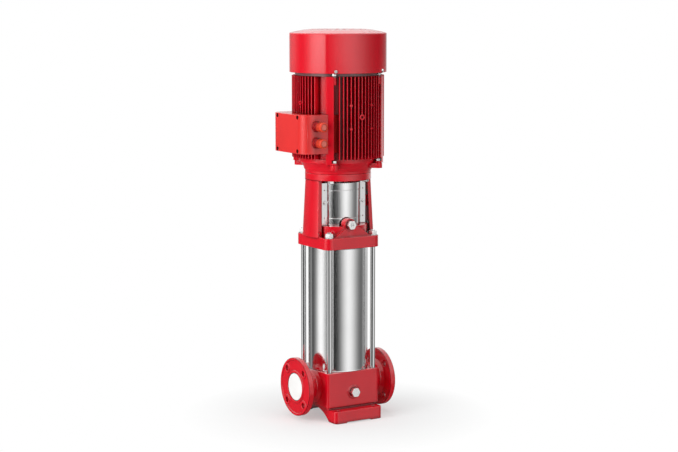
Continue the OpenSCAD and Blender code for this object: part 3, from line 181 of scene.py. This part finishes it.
def make_outer_metals():
    """The polished sleeve, guards and rods, the plated fasteners and plugs, and the box's black screws."""
    metal("sleeve_steel", (0.86, 0.86, 0.86), 0.14, stretch=ALONG_Z, grain=900.0, bump=0.06)
    metal("guard_steel", (0.84, 0.84, 0.84), 0.16, stretch=ALONG_Z, grain=700.0, bump=0.05)
    metal("rod_steel", (0.78, 0.78, 0.78), 0.1, stretch=ALONG_Z, grain=900.0, bump=0.02, gloss_change=0.02)
    metal("zinc_steel", (0.95, 0.95, 0.94), 0.3, mottle=0.08, mottle_scale=120.0, edge=0.5 * MM)
    metal("plug_steel", (0.97, 0.97, 0.96), 0.25, mottle_scale=60.0, edge=0.5 * MM)
    metal("screw_black", (0.06, 0.05, 0.05), 0.4)


def make_inner_metals():
    """The metals of the coupling, the shafts and bearings, the stages, the motor's core and the studs."""
    metal("coupling_steel", (0.66, 0.66, 0.67), 0.35, mottle_scale=40.0)
    metal("shaft_steel", (0.76, 0.76, 0.77), 0.2, grain=600.0, stretch=ROUND_Z)
    metal("stage_steel", (0.74, 0.75, 0.76), 0.3)
    metal("core_steel", (0.34, 0.34, 0.36), 0.45, grain=900.0, stretch=ROUND_Z)
    metal("winding_copper", (0.62, 0.27, 0.10), 0.35, grain=320.0, bump=0.4)
    metal("stud_brass", (0.80, 0.60, 0.24), 0.25)


def make_plastics(look):
    """The port covers, the bearing bush, the rubber seals, the fan and the cable glands."""
    plastic("cover_white", look.port_cover, 0.35)
    plastic("bearing_carbon", (0.02, 0.02, 0.022), 0.45)
    plastic("black_rubber", (0.012, 0.012, 0.012), 0.6)
    plastic("fan_black", (0.015, 0.015, 0.016), 0.4)
    # The gland bodies' darker red is their red with painted shade, for the shadowed collar beside the box.
    plastic("gland_red", linear(150, 12, 20), 0.35)
    plastic("gland_orange", look.gland, 0.32)
    plastic("gland_plug_red", linear(240, 120, 105), 0.35)


def finish_of(node):
    """The finish of a node's material slot."""
    return bpy.data.materials[SLOT_OF[node] + FINISH]


def dress_nodes():
    """Each node of the frame gets the finish of its material slot."""
    for name, node in frame["nodes"].items():
        for place in node.material_slots:
            place.material = finish_of(name)


# Tools for forms, which take lengths in metres

def node_form(name):
    """The merged faces of a CAD node, as a new form in the node's place."""
    node = frame["nodes"][name]
    form = bmesh.new()
    form.from_mesh(node.data)
    form.transform(node.matrix_world)
    bmesh.ops.remove_doubles(form, verts=form.verts, dist=MERGE)
    bmesh.ops.dissolve_limit(form, angle_limit=FLAT, verts=form.verts, edges=form.edges)
    return form


def soften(form, width, segments=2, chosen=None):
    """Round every sharp edge of the form, or those of them that are chosen."""
    sharp = [edge for edge in form.edges if edge.is_manifold and edge.calc_face_angle() > SHARP]
    if chosen:
        sharp = [edge for edge in sharp if chosen(edge)]
    bmesh.ops.bevel(form, geom=sharp, offset=width, offset_type="OFFSET", segments=segments, profile=0.5,
                    affect="EDGES", clamp_overlap=False, material=-1)


def turn(form, profile, steps, place=(0, 0, 0), direction=(0, 0, 1)):
    """Add a closed turned shape, from a profile of radius and height along the direction."""
    tilt = Vector((0, 0, 1)).rotation_difference(Vector(direction)).to_matrix().to_4x4()
    seat = Matrix.Translation(place) @ tilt
    verts = [form.verts.new(seat @ Vector((radius, 0, height))) for radius, height in profile]
    has_bore = profile[0][0] > 0
    ends = verts[1:] + verts[:1] if has_bore else verts[1:]
    edges = [form.edges.new(pair) for pair in zip(verts, ends)]
    bmesh.ops.spin(form, geom=verts + edges, cent=place, axis=direction, angle=2 * pi, steps=steps,
                   use_merge=True)
    bmesh.ops.remove_doubles(form, verts=form.verts, dist=MERGE)


def arc(centre, radius, start, end, steps=6):
    """Points of a profile on an arc, by angles in degrees from the outward direction."""
    angles = [radians(start + (end - start) * i / steps) for i in range(steps + 1)]
    return [(centre[0] + radius * cos(a), centre[1] + radius * sin(a)) for a in angles]


def piece(node, form, weigh=True):
    """Make an object of the form that stands for a CAD node, with the node's body and the finish of its
    slot.

    Weighed normals even out the shading beside rounded edges.
    """
    bmesh.ops.recalc_face_normals(form, faces=form.faces)
    for face in form.faces:
        face.smooth = True
    for edge in form.edges:
        edge.smooth = edge.calc_face_angle(0.0) < CREASE
    mesh = bpy.data.meshes.new(node + FINE)
    form.to_mesh(mesh)
    form.free()
    mesh.materials.append(finish_of(node))
    made = bpy.data.objects.new(node + FINE, mesh)
    bpy.context.collection.objects.link(made)
    if weigh:
        made.modifiers.new("even_shading", "WEIGHTED_NORMAL").keep_sharp = True
    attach(made, BODY_OF[node])
    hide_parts(node)


def softened(node, width, segments=2):
    """Make a piece of the node's own shape with rounded edges."""
    form = node_form(node)
    soften(form, width, segments)
    piece(node, form)


# Pieces

def shape_stool(width, fine_width):
    """The motor stool with rounded edges, which are finer near the vent plug, where they crowd."""
    form = node_form("motor_stool")
    low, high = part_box("vent_plug")
    middle = (low + high) / 2
    half_width, half_height, front = 80 * MM, 34 * MM, -40 * MM

    def near_plug(edge):
        centre = (edge.verts[0].co + edge.verts[1].co) / 2
        beside = abs(centre.x - middle.x) < half_width
        level = abs(centre.z - middle.z) < half_height
        return beside and level and centre.y < front

    soften(form, width, 3, lambda edge: not near_plug(edge))
    soften(form, fine_width, 2, near_plug)
    piece("motor_stool", form)


def shape_sleeve():
    """The sleeve, turned with a rolled bead at each end that stands out by half its radius."""
    low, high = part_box("outer_sleeve")
    bottom, top = low[2], high[2]
    wall_r, bore_r, bead_r = high[0] - 1.5 * MM, high[0] - 4.5 * MM, MM
    centre_r = wall_r - bead_r / 2
    root, support = 2.2 * bead_r, 5 * bead_r
    heights = (bottom + root, bottom + support, top - support, top - root)
    profile = [(bore_r, bottom), (centre_r, bottom)]
    profile += arc((centre_r, bottom + bead_r), bead_r, -90, 40)[1:]
    profile += [(wall_r, height) for height in heights]
    profile += arc((centre_r, top - bead_r), bead_r, -40, 90)[:-1]
    profile += [(centre_r, top), (bore_r, top)]
    form = bmesh.new()
    turn(form, profile, steps=128)
    piece("outer_sleeve", form)


def shape_tie_rods():
    """The four tie rods, turned with the crests of their threads from below the nuts to the tip."""
    low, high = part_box("tie_rods")
    reach, bottom, top = high[0], low[2], high[2]
    rod_r, pitch, chamfer = 8 * MM, 2 * MM, MM
    root_r, crest_r = rod_r - 0.9 * MM, rod_r - 0.06 * MM
    thread_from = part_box("tie_rod_nuts")[0][2] - 8 * MM
    profile = [(0, bottom), (rod_r - chamfer, bottom), (rod_r, bottom + chamfer), (rod_r, thread_from)]
    height = thread_from + pitch / 2
    while height < top - pitch:
        profile += [(root_r, height), (crest_r, height + 0.45 * pitch), (crest_r, height + 0.6 * pitch)]
        height += pitch
    profile += [(rod_r - 1.2 * MM, top - 0.8 * MM), (rod_r - 2.2 * MM, top - 0.1 * MM), (0, top)]
    form = bmesh.new()
    for x in (rod_r - reach, reach - rod_r):
        for y in (rod_r - reach, reach - rod_r):
            turn(form, profile, steps=32, place=(x, y, 0))
    piece("tie_rods", form, weigh=False)


def shape_fan_cover(width):
    """The fan cover, its wide shoulder drawn out to a tighter one, with rounded edges."""
    form = node_form("fan_cover")
    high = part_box("fan_cover")[1]
    wide_r, shoulder_r, crown, touch = 12 * MM, 4 * MM, 10 * MM, 0.01 * MM
    slack = wide_r - shoulder_r
    centre_r, centre_z = high[0] - wide_r, high[2] - crown - wide_r
    for vert in form.verts:
        out, up = vert.co.xy.length - centre_r, vert.co.z - centre_z
        reach = hypot(out, up)
        if min(out, up) > -touch and reach > slack:
            share = (reach - slack) / reach
            vert.co.xy *= (centre_r + slack + out * share) / vert.co.xy.length
            vert.co.z = centre_z + slack + up * share
    soften(form, width)
    piece("fan_cover", form)


def shape_box(width):
    """The terminal box, with rounded edges except at the seam of its cover."""
    form = node_form("terminal_box")
    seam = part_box("terminal_box")[0][0]
    soften(form, width, 2, lambda edge: all(vert.co.x > seam + MM for vert in edge.verts))
    piece("terminal_box", form)


def shape_cover(width):
    """The terminal cover, with rounded edges in front and a thin lip behind that hides the gasket."""
    form = node_form("terminal_cover")
    low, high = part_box("terminal_cover")
    middle, half = (low + high) / 2, (high - low) / 2
    corner_r, touch = 8 * MM, 0.3 * MM
    back_edge = high[0] - 2 * MM
    lip_width, lip_gap = 1.3 * MM, 0.15 * MM
    counterbore_width = 0.25 * MM

    def from_outline(point):
        """Distance of a point from the cover's rounded outline, below zero inside it."""
        out = [abs(point[axis] - middle[axis]) - half[axis] + corner_r for axis in (1, 2)]
        return hypot(*[max(v, 0) for v in out]) + min(max(out), 0) - corner_r

    def at_front(edge, outline):
        """Whether the edge is in front of the back one, and on the outline or else off it."""
        on_outline = all(from_outline(vert.co) > -touch for vert in edge.verts)
        return all(vert.co.x < back_edge for vert in edge.verts) and on_outline == outline

    soften(form, counterbore_width, 2, lambda edge: at_front(edge, False))
    soften(form, width, 3, lambda edge: at_front(edge, True))
    back = [face for face in form.faces
            if face.normal.x > 0.9 and face.calc_center_median().x > high[0] - touch]
    ring = bmesh.ops.inset_region(form, faces=back, thickness=lip_width, use_even_offset=True,
                                  use_boundary=True)["faces"]
    lip = [face for face in ring if from_outline(face.calc_center_median()) > -lip_width]
    raised = bmesh.ops.extrude_face_region(form, geom=lip)["geom"]
    gasket_low, gasket_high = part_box("terminal_gasket")
    depth = gasket_high[0] - gasket_low[0] - lip_gap
    raised_verts = [part for part in raised if isinstance(part, bmesh.types.BMVert)]
    bmesh.ops.translate(form, vec=(depth, 0, 0), verts=raised_verts)
    piece("terminal_cover", form)


def shape_gasket():
    """The gasket of the terminal box, drawn in to fit behind the cover's lip."""
    form = node_form("terminal_gasket")
    low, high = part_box("terminal_gasket")
    middle, span = (low + high) / 2, high - low
    shortening = 3.2 * MM
    for vert in form.verts:
        for axis in (1, 2):
            share = 1 - shortening / span[axis]
            vert.co[axis] = middle[axis] + (vert.co[axis] - middle[axis]) * share
    piece("terminal_gasket", form)


def shape_gland_nuts():
    """Both gland nuts, turned with a domed end, with raised grips in pairs round the straight part."""
    low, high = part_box("gland_nuts")
    radius = (high[0] - low[0]) / 2
    middle = (low[0] + high[0]) / 2
    heights = (low[2] + radius, high[2] - radius)
    length = high[1] - low[1]
    bore_r, body_r, chamfer, dome_r, plain_end = 10 * MM, radius - 0.6 * MM, MM, 4 * MM, 7 * MM
    grip_margin, grip_height = 0.25 * MM, 0.55 * MM
    sides = 72
    profile = [(bore_r, 0), (body_r - chamfer, 0), (body_r, chamfer), (body_r, length - plain_end),
               (body_r, length - dome_r - chamfer / 2)]
    profile += arc((body_r - dome_r, length - dome_r), dome_r, 0, 90)[1:] + [(bore_r, length)]
    form = bmesh.new()
    for height in heights:
        turn(form, profile, sides, (middle, high[1], height), (0, -1, 0))

    def is_grip(face, height):
        """Whether the face is one of the nut's grips: two of three faces of its straight part."""
        centre = face.calc_center_median()
        side = Vector((centre.x - middle, centre.z - height))
        straight = low[1] + plain_end < centre.y < high[1] - chamfer
        if not straight or not 0.9 * body_r < side.length < radius:
            return False
        around = Vector((0, 1)).angle_signed(side) / (2 * pi / sides)
        return round(around - 0.5) % 3 != 0

    grips = [face for face in form.faces for height in heights if is_grip(face, height)]
    bmesh.ops.inset_individual(form, faces=grips, thickness=grip_margin, depth=grip_height)
    piece("gland_nuts", form)


def shape_port_cover(node, width):
    """A port cover, drawn in at its rim so that a gap shows round it, with a rounded edge."""
    form = node_form(node)
    low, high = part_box(node)
    axis_z, radius, gap = (low[2] + high[2]) / 2, high[1], 1.6 * MM
    share = gap / radius
    for vert in form.verts:
        if hypot(vert.co.y, vert.co.z - axis_z) > 0.9 * radius:
            vert.co.y *= 1 - share
            vert.co.z += (axis_z - vert.co.z) * share
    soften(form, width, 3)
    piece(node, form)


# Settings

class StudioSettings(bpy.types.PropertyGroup):
    """Camera, lamps and sky."""
    yaw: bpy.props.FloatProperty(
        name="Yaw", description="Turn of the camera to the left of the pump's front",
        default=radians(31.22), unit="ROTATION")
    pitch: bpy.props.FloatProperty(
        name="Pitch", description="Angle at which the camera looks down",
        default=radians(7.713), unit="ROTATION")
    distance: bpy.props.FloatProperty(
        name="Distance", description="Distance of the camera from its target",
        default=5.45314, unit="LENGTH")
    target_height: bpy.props.FloatProperty(
        name="Target height", description="Height of the camera's target above the floor",
        default=0.60717, unit="LENGTH")
    target_side: bpy.props.FloatProperty(
        name="Target side", description="Distance of the target to the right of the pump axis",
        default=0.00329, unit="LENGTH")
    lens: bpy.props.FloatProperty(
        name="Lens", description="Focal length on a 36 mm wide frame", default=91.27, unit="CAMERA")
    key: bpy.props.FloatProperty(
        name="Key", description="Power of the lamp on the left", default=74.0, unit="POWER")
    fill: bpy.props.FloatProperty(
        name="Fill", description="Power of the lamp on the right", default=19.0, unit="POWER")
    top: bpy.props.FloatProperty(
        name="Top", description="Power of the lamp above", default=38.0, unit="POWER")
    sky: bpy.props.FloatProperty(
        name="Sky", description="Strength of the even light from all sides", default=0.25)
    ceiling: bpy.props.FloatProperty(
        name="Ceiling", description="Brightness of the studio's ceiling in a mirror", default=1.6)
    ground: bpy.props.FloatProperty(
        name="Ground", description="Brightness of the studio's ground in a mirror", default=0.12)


def colour_setting(name, parts, colour):
    """A setting for the colour of some parts."""
    return bpy.props.FloatVectorProperty(
        name=name, description="Colour of " + parts, default=colour, min=0.0, max=1.0, subtype="COLOR")


def edge_setting(name, parts, width):
    """A setting for the width of the rounding along the edges of some parts."""
    return bpy.props.FloatProperty(
        name=name, description="Width of the rounded edges of " + parts, default=width,
        min=0.1 * MM, max=3 * MM, precision=4, unit="LENGTH")


class LookSettings(bpy.types.PropertyGroup):
    """Colours and edges that a user would change."""
    paint: colour_setting("Paint", "the castings, the motor and its fan cover", linear(219, 10, 34))
    # Paler and pinker than the other red: red paint with a painted sheen of reflected white light.
    box_paint_and_sheen: colour_setting("Box paint", "the terminal box and its cover", linear(222, 44, 42))
    shield_paint: colour_setting("Shield paint", "the upper end shield of the motor", (0.22, 0.10, 0.10))
    port_cover: colour_setting("Port cover", "the covers in the ports", linear(244, 244, 242))
    gland: colour_setting("Gland", "the nuts of the cable glands", linear(226, 62, 32))
    cast_edge: edge_setting("Cast edge", "the base and the motor stool", 1.6 * MM)
    shell_edge: edge_setting("Shell edge", "the drive end shield and the terminal box", 1.2 * MM)
    rib_edge: edge_setting("Rib edge", "the motor frame and the upper end shield", 0.8 * MM)
    cover_edge: edge_setting("Cover edge", "the fan cover, port covers and gland plugs", 0.6 * MM)
    fitting_edge: edge_setting("Fitting edge", "the plugs, rod nuts, flange bolts and glands", 0.5 * MM)
    lid_screw_edge: edge_setting("Lid screw edge", "the screws of the terminal cover", 0.4 * MM)
    fine_edge: edge_setting("Fine edge", "the guards, other screws, washers and seals", 0.3 * MM)


# Studio

# Brightness of the studio in a mirror, by the angle in degrees from the pump's front towards its left.
# The low wall shows in the base, the sleeve and the pump head, the middle one in the stool, its guards,
# the motor frame and the terminal box, and the high one in the fan cover.
LOW_WALL = [
    (-180, 0.1), (-150, 0.5), (-119, 0.5), (-103, 0.5), (-91, 0.38), (-81, 0.24), (-72, 0.13),
    (-57, 0.21), (-43, 0.44), (-31, 0.73), (-19, 0.97), (-8, 1.03), (3, 0.82), (13, 0.53), (23, 0.24),
    (33, 0.07), (45, 0.02), (59, 0.04), (70, 0.2), (77, 0.38), (85, 0.7), (93, 1.06), (99, 1.17),
    (106, 1.12), (112, 1.0), (120, 0.6), (128, 0.33), (138, 0.13), (151, 0.07), (155, 0.3), (163, 0.3),
    (172, 0.1),
]
MIDDLE_WALL = [
    (-180, 0.15), (-150, 1.2), (-119, 1.15), (-103, 1.0), (-91, 0.53), (-81, 0.22), (-72, 0.17),
    (-57, 0.31), (-43, 0.55), (-31, 0.8), (-19, 1.02), (-8, 1.06), (3, 0.88), (13, 0.59), (23, 0.24),
    (33, 0.07), (45, 0.01), (57, 0.01), (66, 0.1), (76, 0.34), (83, 0.5), (90, 0.95), (100, 0.95),
    (112, 0.4), (128, 0.1), (150, 0.12), (180, 0.15),
]
HIGH_WALL = [
    (-180, 0.3), (-150, 0.9), (-115, 0.27), (-95, 0.15), (-81, 0.08), (-65, 0.15), (-52, 0.29),
    (-40, 0.51), (-29, 0.81), (-18, 1.09), (-8, 1.33), (0, 1.44), (15, 1.42), (25, 1.14), (37, 0.83),
    (44, 0.55), (53, 0.27), (60, 0.1), (61, 2.6), (67, 3.1), (78, 3.05), (84, 2.8), (94, 2.0),
    (99, 1.5), (105, 0.9), (111, 0.54), (120, 0.2), (131, 0.15), (145, 0.36), (157, 0.56), (180, 0.35),
]
# Brightness that a wall's white stands for
WALL_PEAK = 3.2
# Heights of the mirror direction between which the ground, the walls and the ceiling fade into each other
FADES = ((-0.45, -0.28), (-0.142, -0.136), (-0.056, -0.048), (0.1, 0.4))
WHITE = (1, 1, 1, 1)
FLOOR_COLOUR = (0.915, 0.94, 0.94, 1)
FLOOR_RADIUS = 60
SENSOR = 36
# Angle in degrees from the pump's front towards its left, then height, distance and size in metres
LAMPS = {
    "key": (86, 1.4, 3.0, (1.4, 2.2)),
    "fill": (-20, 1.6, 3.2, (2.0, 2.0)),
    "top": (10, 3.8, 0.2, (2.4, 2.4)),
}
LAMP_TARGET = (0, 0, 0.65)


def grey(brightness):
    """The grey that stands for a brightness of the studio."""
    return (*[brightness / WALL_PEAK] * 3, 1)


def make_wall(tree, around, levels):
    """The grey of a wall round the pump, from its list of angles and brightnesses."""
    wall = add(tree, "ValToRGB", {"Fac": around})
    ramp = wall.color_ramp.elements
    for index, (degrees, brightness) in enumerate(levels):
        place = (degrees + 180) / 360
        stop = ramp[index] if index < 2 else ramp.new(place)
        stop.position = place
        stop.color = grey(brightness)
    return wall.outputs["Color"]


def make_room(tree, direction, studio):
    """The colour of the studio in a mirror: its ground, three walls and ceiling, faded into each other."""
    left = add(tree, "Math", {0: direction.outputs["X"], 1: -1.0}, operation="MULTIPLY")
    front = add(tree, "Math", {0: direction.outputs["Y"], 1: -1.0}, operation="MULTIPLY")
    angle = add(tree, "Math", {0: left.outputs[0], 1: front.outputs[0]}, operation="ARCTAN2").outputs[0]
    around = add(tree, "MapRange", {"Value": angle, "From Min": -pi, "From Max": pi}).outputs["Result"]
    room = grey(studio.ground)
    walls = [make_wall(tree, around, levels) for levels in (LOW_WALL, MIDDLE_WALL, HIGH_WALL)]
    for (low, high), layer in zip(FADES, (*walls, grey(studio.ceiling))):
        inputs = {"Value": direction.outputs["Z"], "From Min": low, "From Max": high}
        share = add(tree, "MapRange", inputs).outputs["Result"]
        inputs = {"Factor": share, "A": room, "B": layer}
        room = add(tree, "Mix", inputs, data_type="RGBA").outputs["Result"]
    return room


def make_world(studio):
    """White for the camera, an even sky as light, and a studio with bright and dark walls in mirrors."""
    world = bpy.data.worlds.new("studio")
    bpy.context.scene.world = world
    world.use_nodes = True
    tree = world.node_tree
    tree.nodes.clear()
    direction = add(tree, "SeparateXYZ", {"Vector": add(tree, "TexCoord").outputs["Generated"]})
    room = make_room(tree, direction, studio)
    path = add(tree, "LightPath").outputs
    mirror = add(tree, "Background", {"Color": room, "Strength": WALL_PEAK})
    sky = add(tree, "Background", {"Color": WHITE, "Strength": studio.sky})
    white = add(tree, "Background", {"Color": WHITE, "Strength": 1.0})
    lit = add(tree, "MixShader", {0: path["Is Glossy Ray"], 1: sky.outputs[0], 2: mirror.outputs[0]})
    direct = {0: path["Is Camera Ray"], 1: path["Is Transmission Ray"]}
    seen = add(tree, "Math", direct, operation="MAXIMUM")
    shown = add(tree, "MixShader", {0: seen.outputs[0], 1: lit.outputs[0], 2: white.outputs[0]})
    add(tree, "OutputWorld", {"Surface": shown.outputs[0]})


def aim(obj, place, target):
    """Put an object at a place, looking at a target."""
    look = Vector(target) - Vector(place)
    obj.matrix_world = Matrix.Translation(place) @ look.to_track_quat("-Z", "Y").to_matrix().to_4x4()


def make_lamp(name, power):
    """A soft rectangular lamp in its place."""
    angle, height, distance, size = LAMPS[name]
    data = bpy.data.lights.new(name, "AREA")
    data.shape = "RECTANGLE"
    data.size, data.size_y = size
    data.energy = power
    lamp = bpy.data.objects.new(name, data)
    bpy.context.collection.objects.link(lamp)
    around = radians(angle)
    aim(lamp, (-sin(around) * distance, -cos(around) * distance, height), LAMP_TARGET)
    lamp.visible_glossy = False


def make_camera(studio):
    """The photograph's view."""
    yaw, pitch = studio.yaw, studio.pitch
    ahead = Vector((sin(yaw) * cos(pitch), cos(yaw) * cos(pitch), -sin(pitch)))
    right = Vector((cos(yaw), -sin(yaw), 0))
    target = right * studio.target_side + Vector((0, 0, studio.target_height))
    data = bpy.data.cameras.new("camera")
    data.sensor_width = SENSOR
    data.lens = studio.lens
    data.clip_end = 2 * FLOOR_RADIUS
    camera = bpy.data.objects.new("camera", data)
    bpy.context.collection.objects.link(camera)
    aim(camera, target - ahead * studio.distance, target)
    bpy.context.scene.camera = camera


def floor_material():
    """Pale ground that turns white with distance from the pump."""
    material, tree = blank_material("floor")
    far = add(tree, "VectorMath", {0: add(tree, "TexCoord").outputs["Object"]}, operation="LENGTH")
    inputs = {"Value": far.outputs["Value"], "From Min": 0.12, "From Max": 0.5, "To Min": 0.42}
    fade = add(tree, "MapRange", inputs)
    ground = add(tree, "BsdfDiffuse", {"Color": FLOOR_COLOUR})
    white = add(tree, "Emission", {"Color": WHITE, "Strength": 1.0})
    path = add(tree, "LightPath").outputs
    seen = add(tree, "Math", {0: fade.outputs["Result"], 1: path["Is Camera Ray"]}, operation="MULTIPLY")
    surface = add(tree, "MixShader", {0: seen.outputs[0], 1: ground.outputs[0], 2: white.outputs[0]})
    add(tree, "OutputMaterial", {"Surface": surface.outputs[0]})
    return material


def make_floor():
    """A round floor that takes the pump's shadow."""
    form = bmesh.new()
    bmesh.ops.create_circle(form, cap_ends=True, segments=96, radius=FLOOR_RADIUS)
    mesh = bpy.data.meshes.new("floor")
    form.to_mesh(mesh)
    form.free()
    mesh.materials.append(floor_material())
    floor = bpy.data.objects.new("floor", mesh)
    bpy.context.collection.objects.link(floor)
    floor.visible_glossy = False


# Steps

class PUMP_OT_finishes(bpy.types.Operator):
    """Give every node of the frame its finish"""
    bl_idname = "pump.finishes"
    bl_label = "Finishes"

    def execute(self, context):
        look = context.scene.pump_look
        make_paints(look)
        make_outer_metals()
        make_inner_metals()
        make_plastics(look)
        dress_nodes()
        return {"FINISHED"}


class PUMP_OT_castings(bpy.types.Operator):
    """Round the edges of the cast base and of the motor stool"""
    bl_idname = "pump.castings"
    bl_label = "Castings"

    def execute(self, context):
        look = context.scene.pump_look
        softened("base_casting", look.cast_edge, 3)
        shape_stool(look.cast_edge, look.fine_edge)
        return {"FINISHED"}


class PUMP_OT_sleeve(bpy.types.Operator):
    """Turn the sleeve with its rolled ends, and the tie rods with their threads"""
    bl_idname = "pump.sleeve"
    bl_label = "Sleeve and tie rods"

    def execute(self, context):
        shape_sleeve()
        shape_tie_rods()
        return {"FINISHED"}


class PUMP_OT_guards(bpy.types.Operator):
    """Round the edges of both coupling guards"""
    bl_idname = "pump.guards"
    bl_label = "Coupling guards"

    def execute(self, context):
        for node in ("guard_front", "guard_rear"):
            softened(node, context.scene.pump_look.fine_edge)
        return {"FINISHED"}


class PUMP_OT_motor(bpy.types.Operator):
    """Round the frame and the end shields of the motor, and shape its fan cover"""
    bl_idname = "pump.motor"
    bl_label = "Motor"

    def execute(self, context):
        look = context.scene.pump_look
        softened("motor_frame", look.rib_edge)
        softened("drive_end_shield", look.shell_edge)
        softened("upper_end_shield", look.rib_edge)
        shape_fan_cover(look.cover_edge)
        return {"FINISHED"}


class PUMP_OT_terminal_box(bpy.types.Operator):
    """Shape the terminal box, its cover with the screws, and the gasket between them"""
    bl_idname = "pump.terminal_box"
    bl_label = "Terminal box"

    def execute(self, context):
        look = context.scene.pump_look
        shape_box(look.shell_edge)
        shape_cover(look.shell_edge)
        shape_gasket()
        softened("terminal_cover_screws", look.lid_screw_edge)
        return {"FINISHED"}


class PUMP_OT_glands(bpy.types.Operator):
    """Shape the cable glands, with grips on their nuts"""
    bl_idname = "pump.glands"
    bl_label = "Cable glands"

    def execute(self, context):
        look = context.scene.pump_look
        softened("cable_glands", look.fitting_edge)
        softened("gland_plugs", look.cover_edge)
        shape_gland_nuts()
        return {"FINISHED"}


class PUMP_OT_fittings(bpy.types.Operator):
    """Round the plugs, port covers, washers, seals, nuts, bolts and screws"""
    bl_idname = "pump.fittings"
    bl_label = "Plugs, covers and fasteners"

    def execute(self, context):
        look = context.scene.pump_look
        for node in ("drain_plug", "vent_plug", "tie_rod_nuts", "motor_flange_bolts"):
            softened(node, look.fitting_edge)
        for node in ("shield_bolts_lower", "shield_bolts_upper", "fan_cover_screws", "guard_screws_front",
                     "guard_screws_rear", "tie_rod_washers", "drain_seal", "vent_seal"):
            softened(node, look.fine_edge)
        for node in ("inlet_cover", "outlet_cover"):
            shape_port_cover(node, look.cover_edge)
        return {"FINISHED"}


class PUMP_OT_studio(bpy.types.Operator):
    """Make the floor, the world, the lamps and the camera"""
    bl_idname = "pump.studio"
    bl_label = "Studio"

    def execute(self, context):
        scene = context.scene
        studio = scene.pump_studio
        make_floor()
        make_world(studio)
        for name in LAMPS:
            make_lamp(name, getattr(studio, name))
        make_camera(studio)
        scene.view_settings.view_transform = "Standard"
        return {"FINISHED"}


class PUMP_PT_panel(bpy.types.Panel):
    """The steps that dress the pump, and their settings"""
    bl_idname = "PUMP_PT_panel"
    bl_label = "Jockey pump"
    bl_space_type = "VIEW_3D"
    bl_region_type = "UI"
    bl_category = "Jockey pump"

    def draw(self, context):
        for settings in (context.scene.pump_look, context.scene.pump_studio):
            for name in settings.bl_rna.properties.keys():
                if name not in ("rna_type", "name"):
                    self.layout.prop(settings, name)
        for step in STEPS:
            self.layout.operator(step.bl_idname)


STEPS = (PUMP_OT_finishes, PUMP_OT_castings, PUMP_OT_sleeve, PUMP_OT_guards, PUMP_OT_motor,
         PUMP_OT_terminal_box, PUMP_OT_glands, PUMP_OT_fittings, PUMP_OT_studio)
CLASSES = (StudioSettings, LookSettings, *STEPS, PUMP_PT_panel)


def register():
    """Register the classes and hang the settings on the scene."""
    for cls in CLASSES:
        bpy.utils.register_class(cls)
    bpy.types.Scene.pump_studio = bpy.props.PointerProperty(type=StudioSettings)
    bpy.types.Scene.pump_look = bpy.props.PointerProperty(type=LookSettings)


def unregister():
    """Undo register."""
    del bpy.types.Scene.pump_look
    del bpy.types.Scene.pump_studio
    for cls in reversed(CLASSES):
        bpy.utils.unregister_class(cls)


def main():
    """Run every step in order."""
    register()
    for step in STEPS:
        family, name = step.bl_idname.split(".")
        getattr(getattr(bpy.ops, family), name)()


if __name__ == "__main__":
    main()
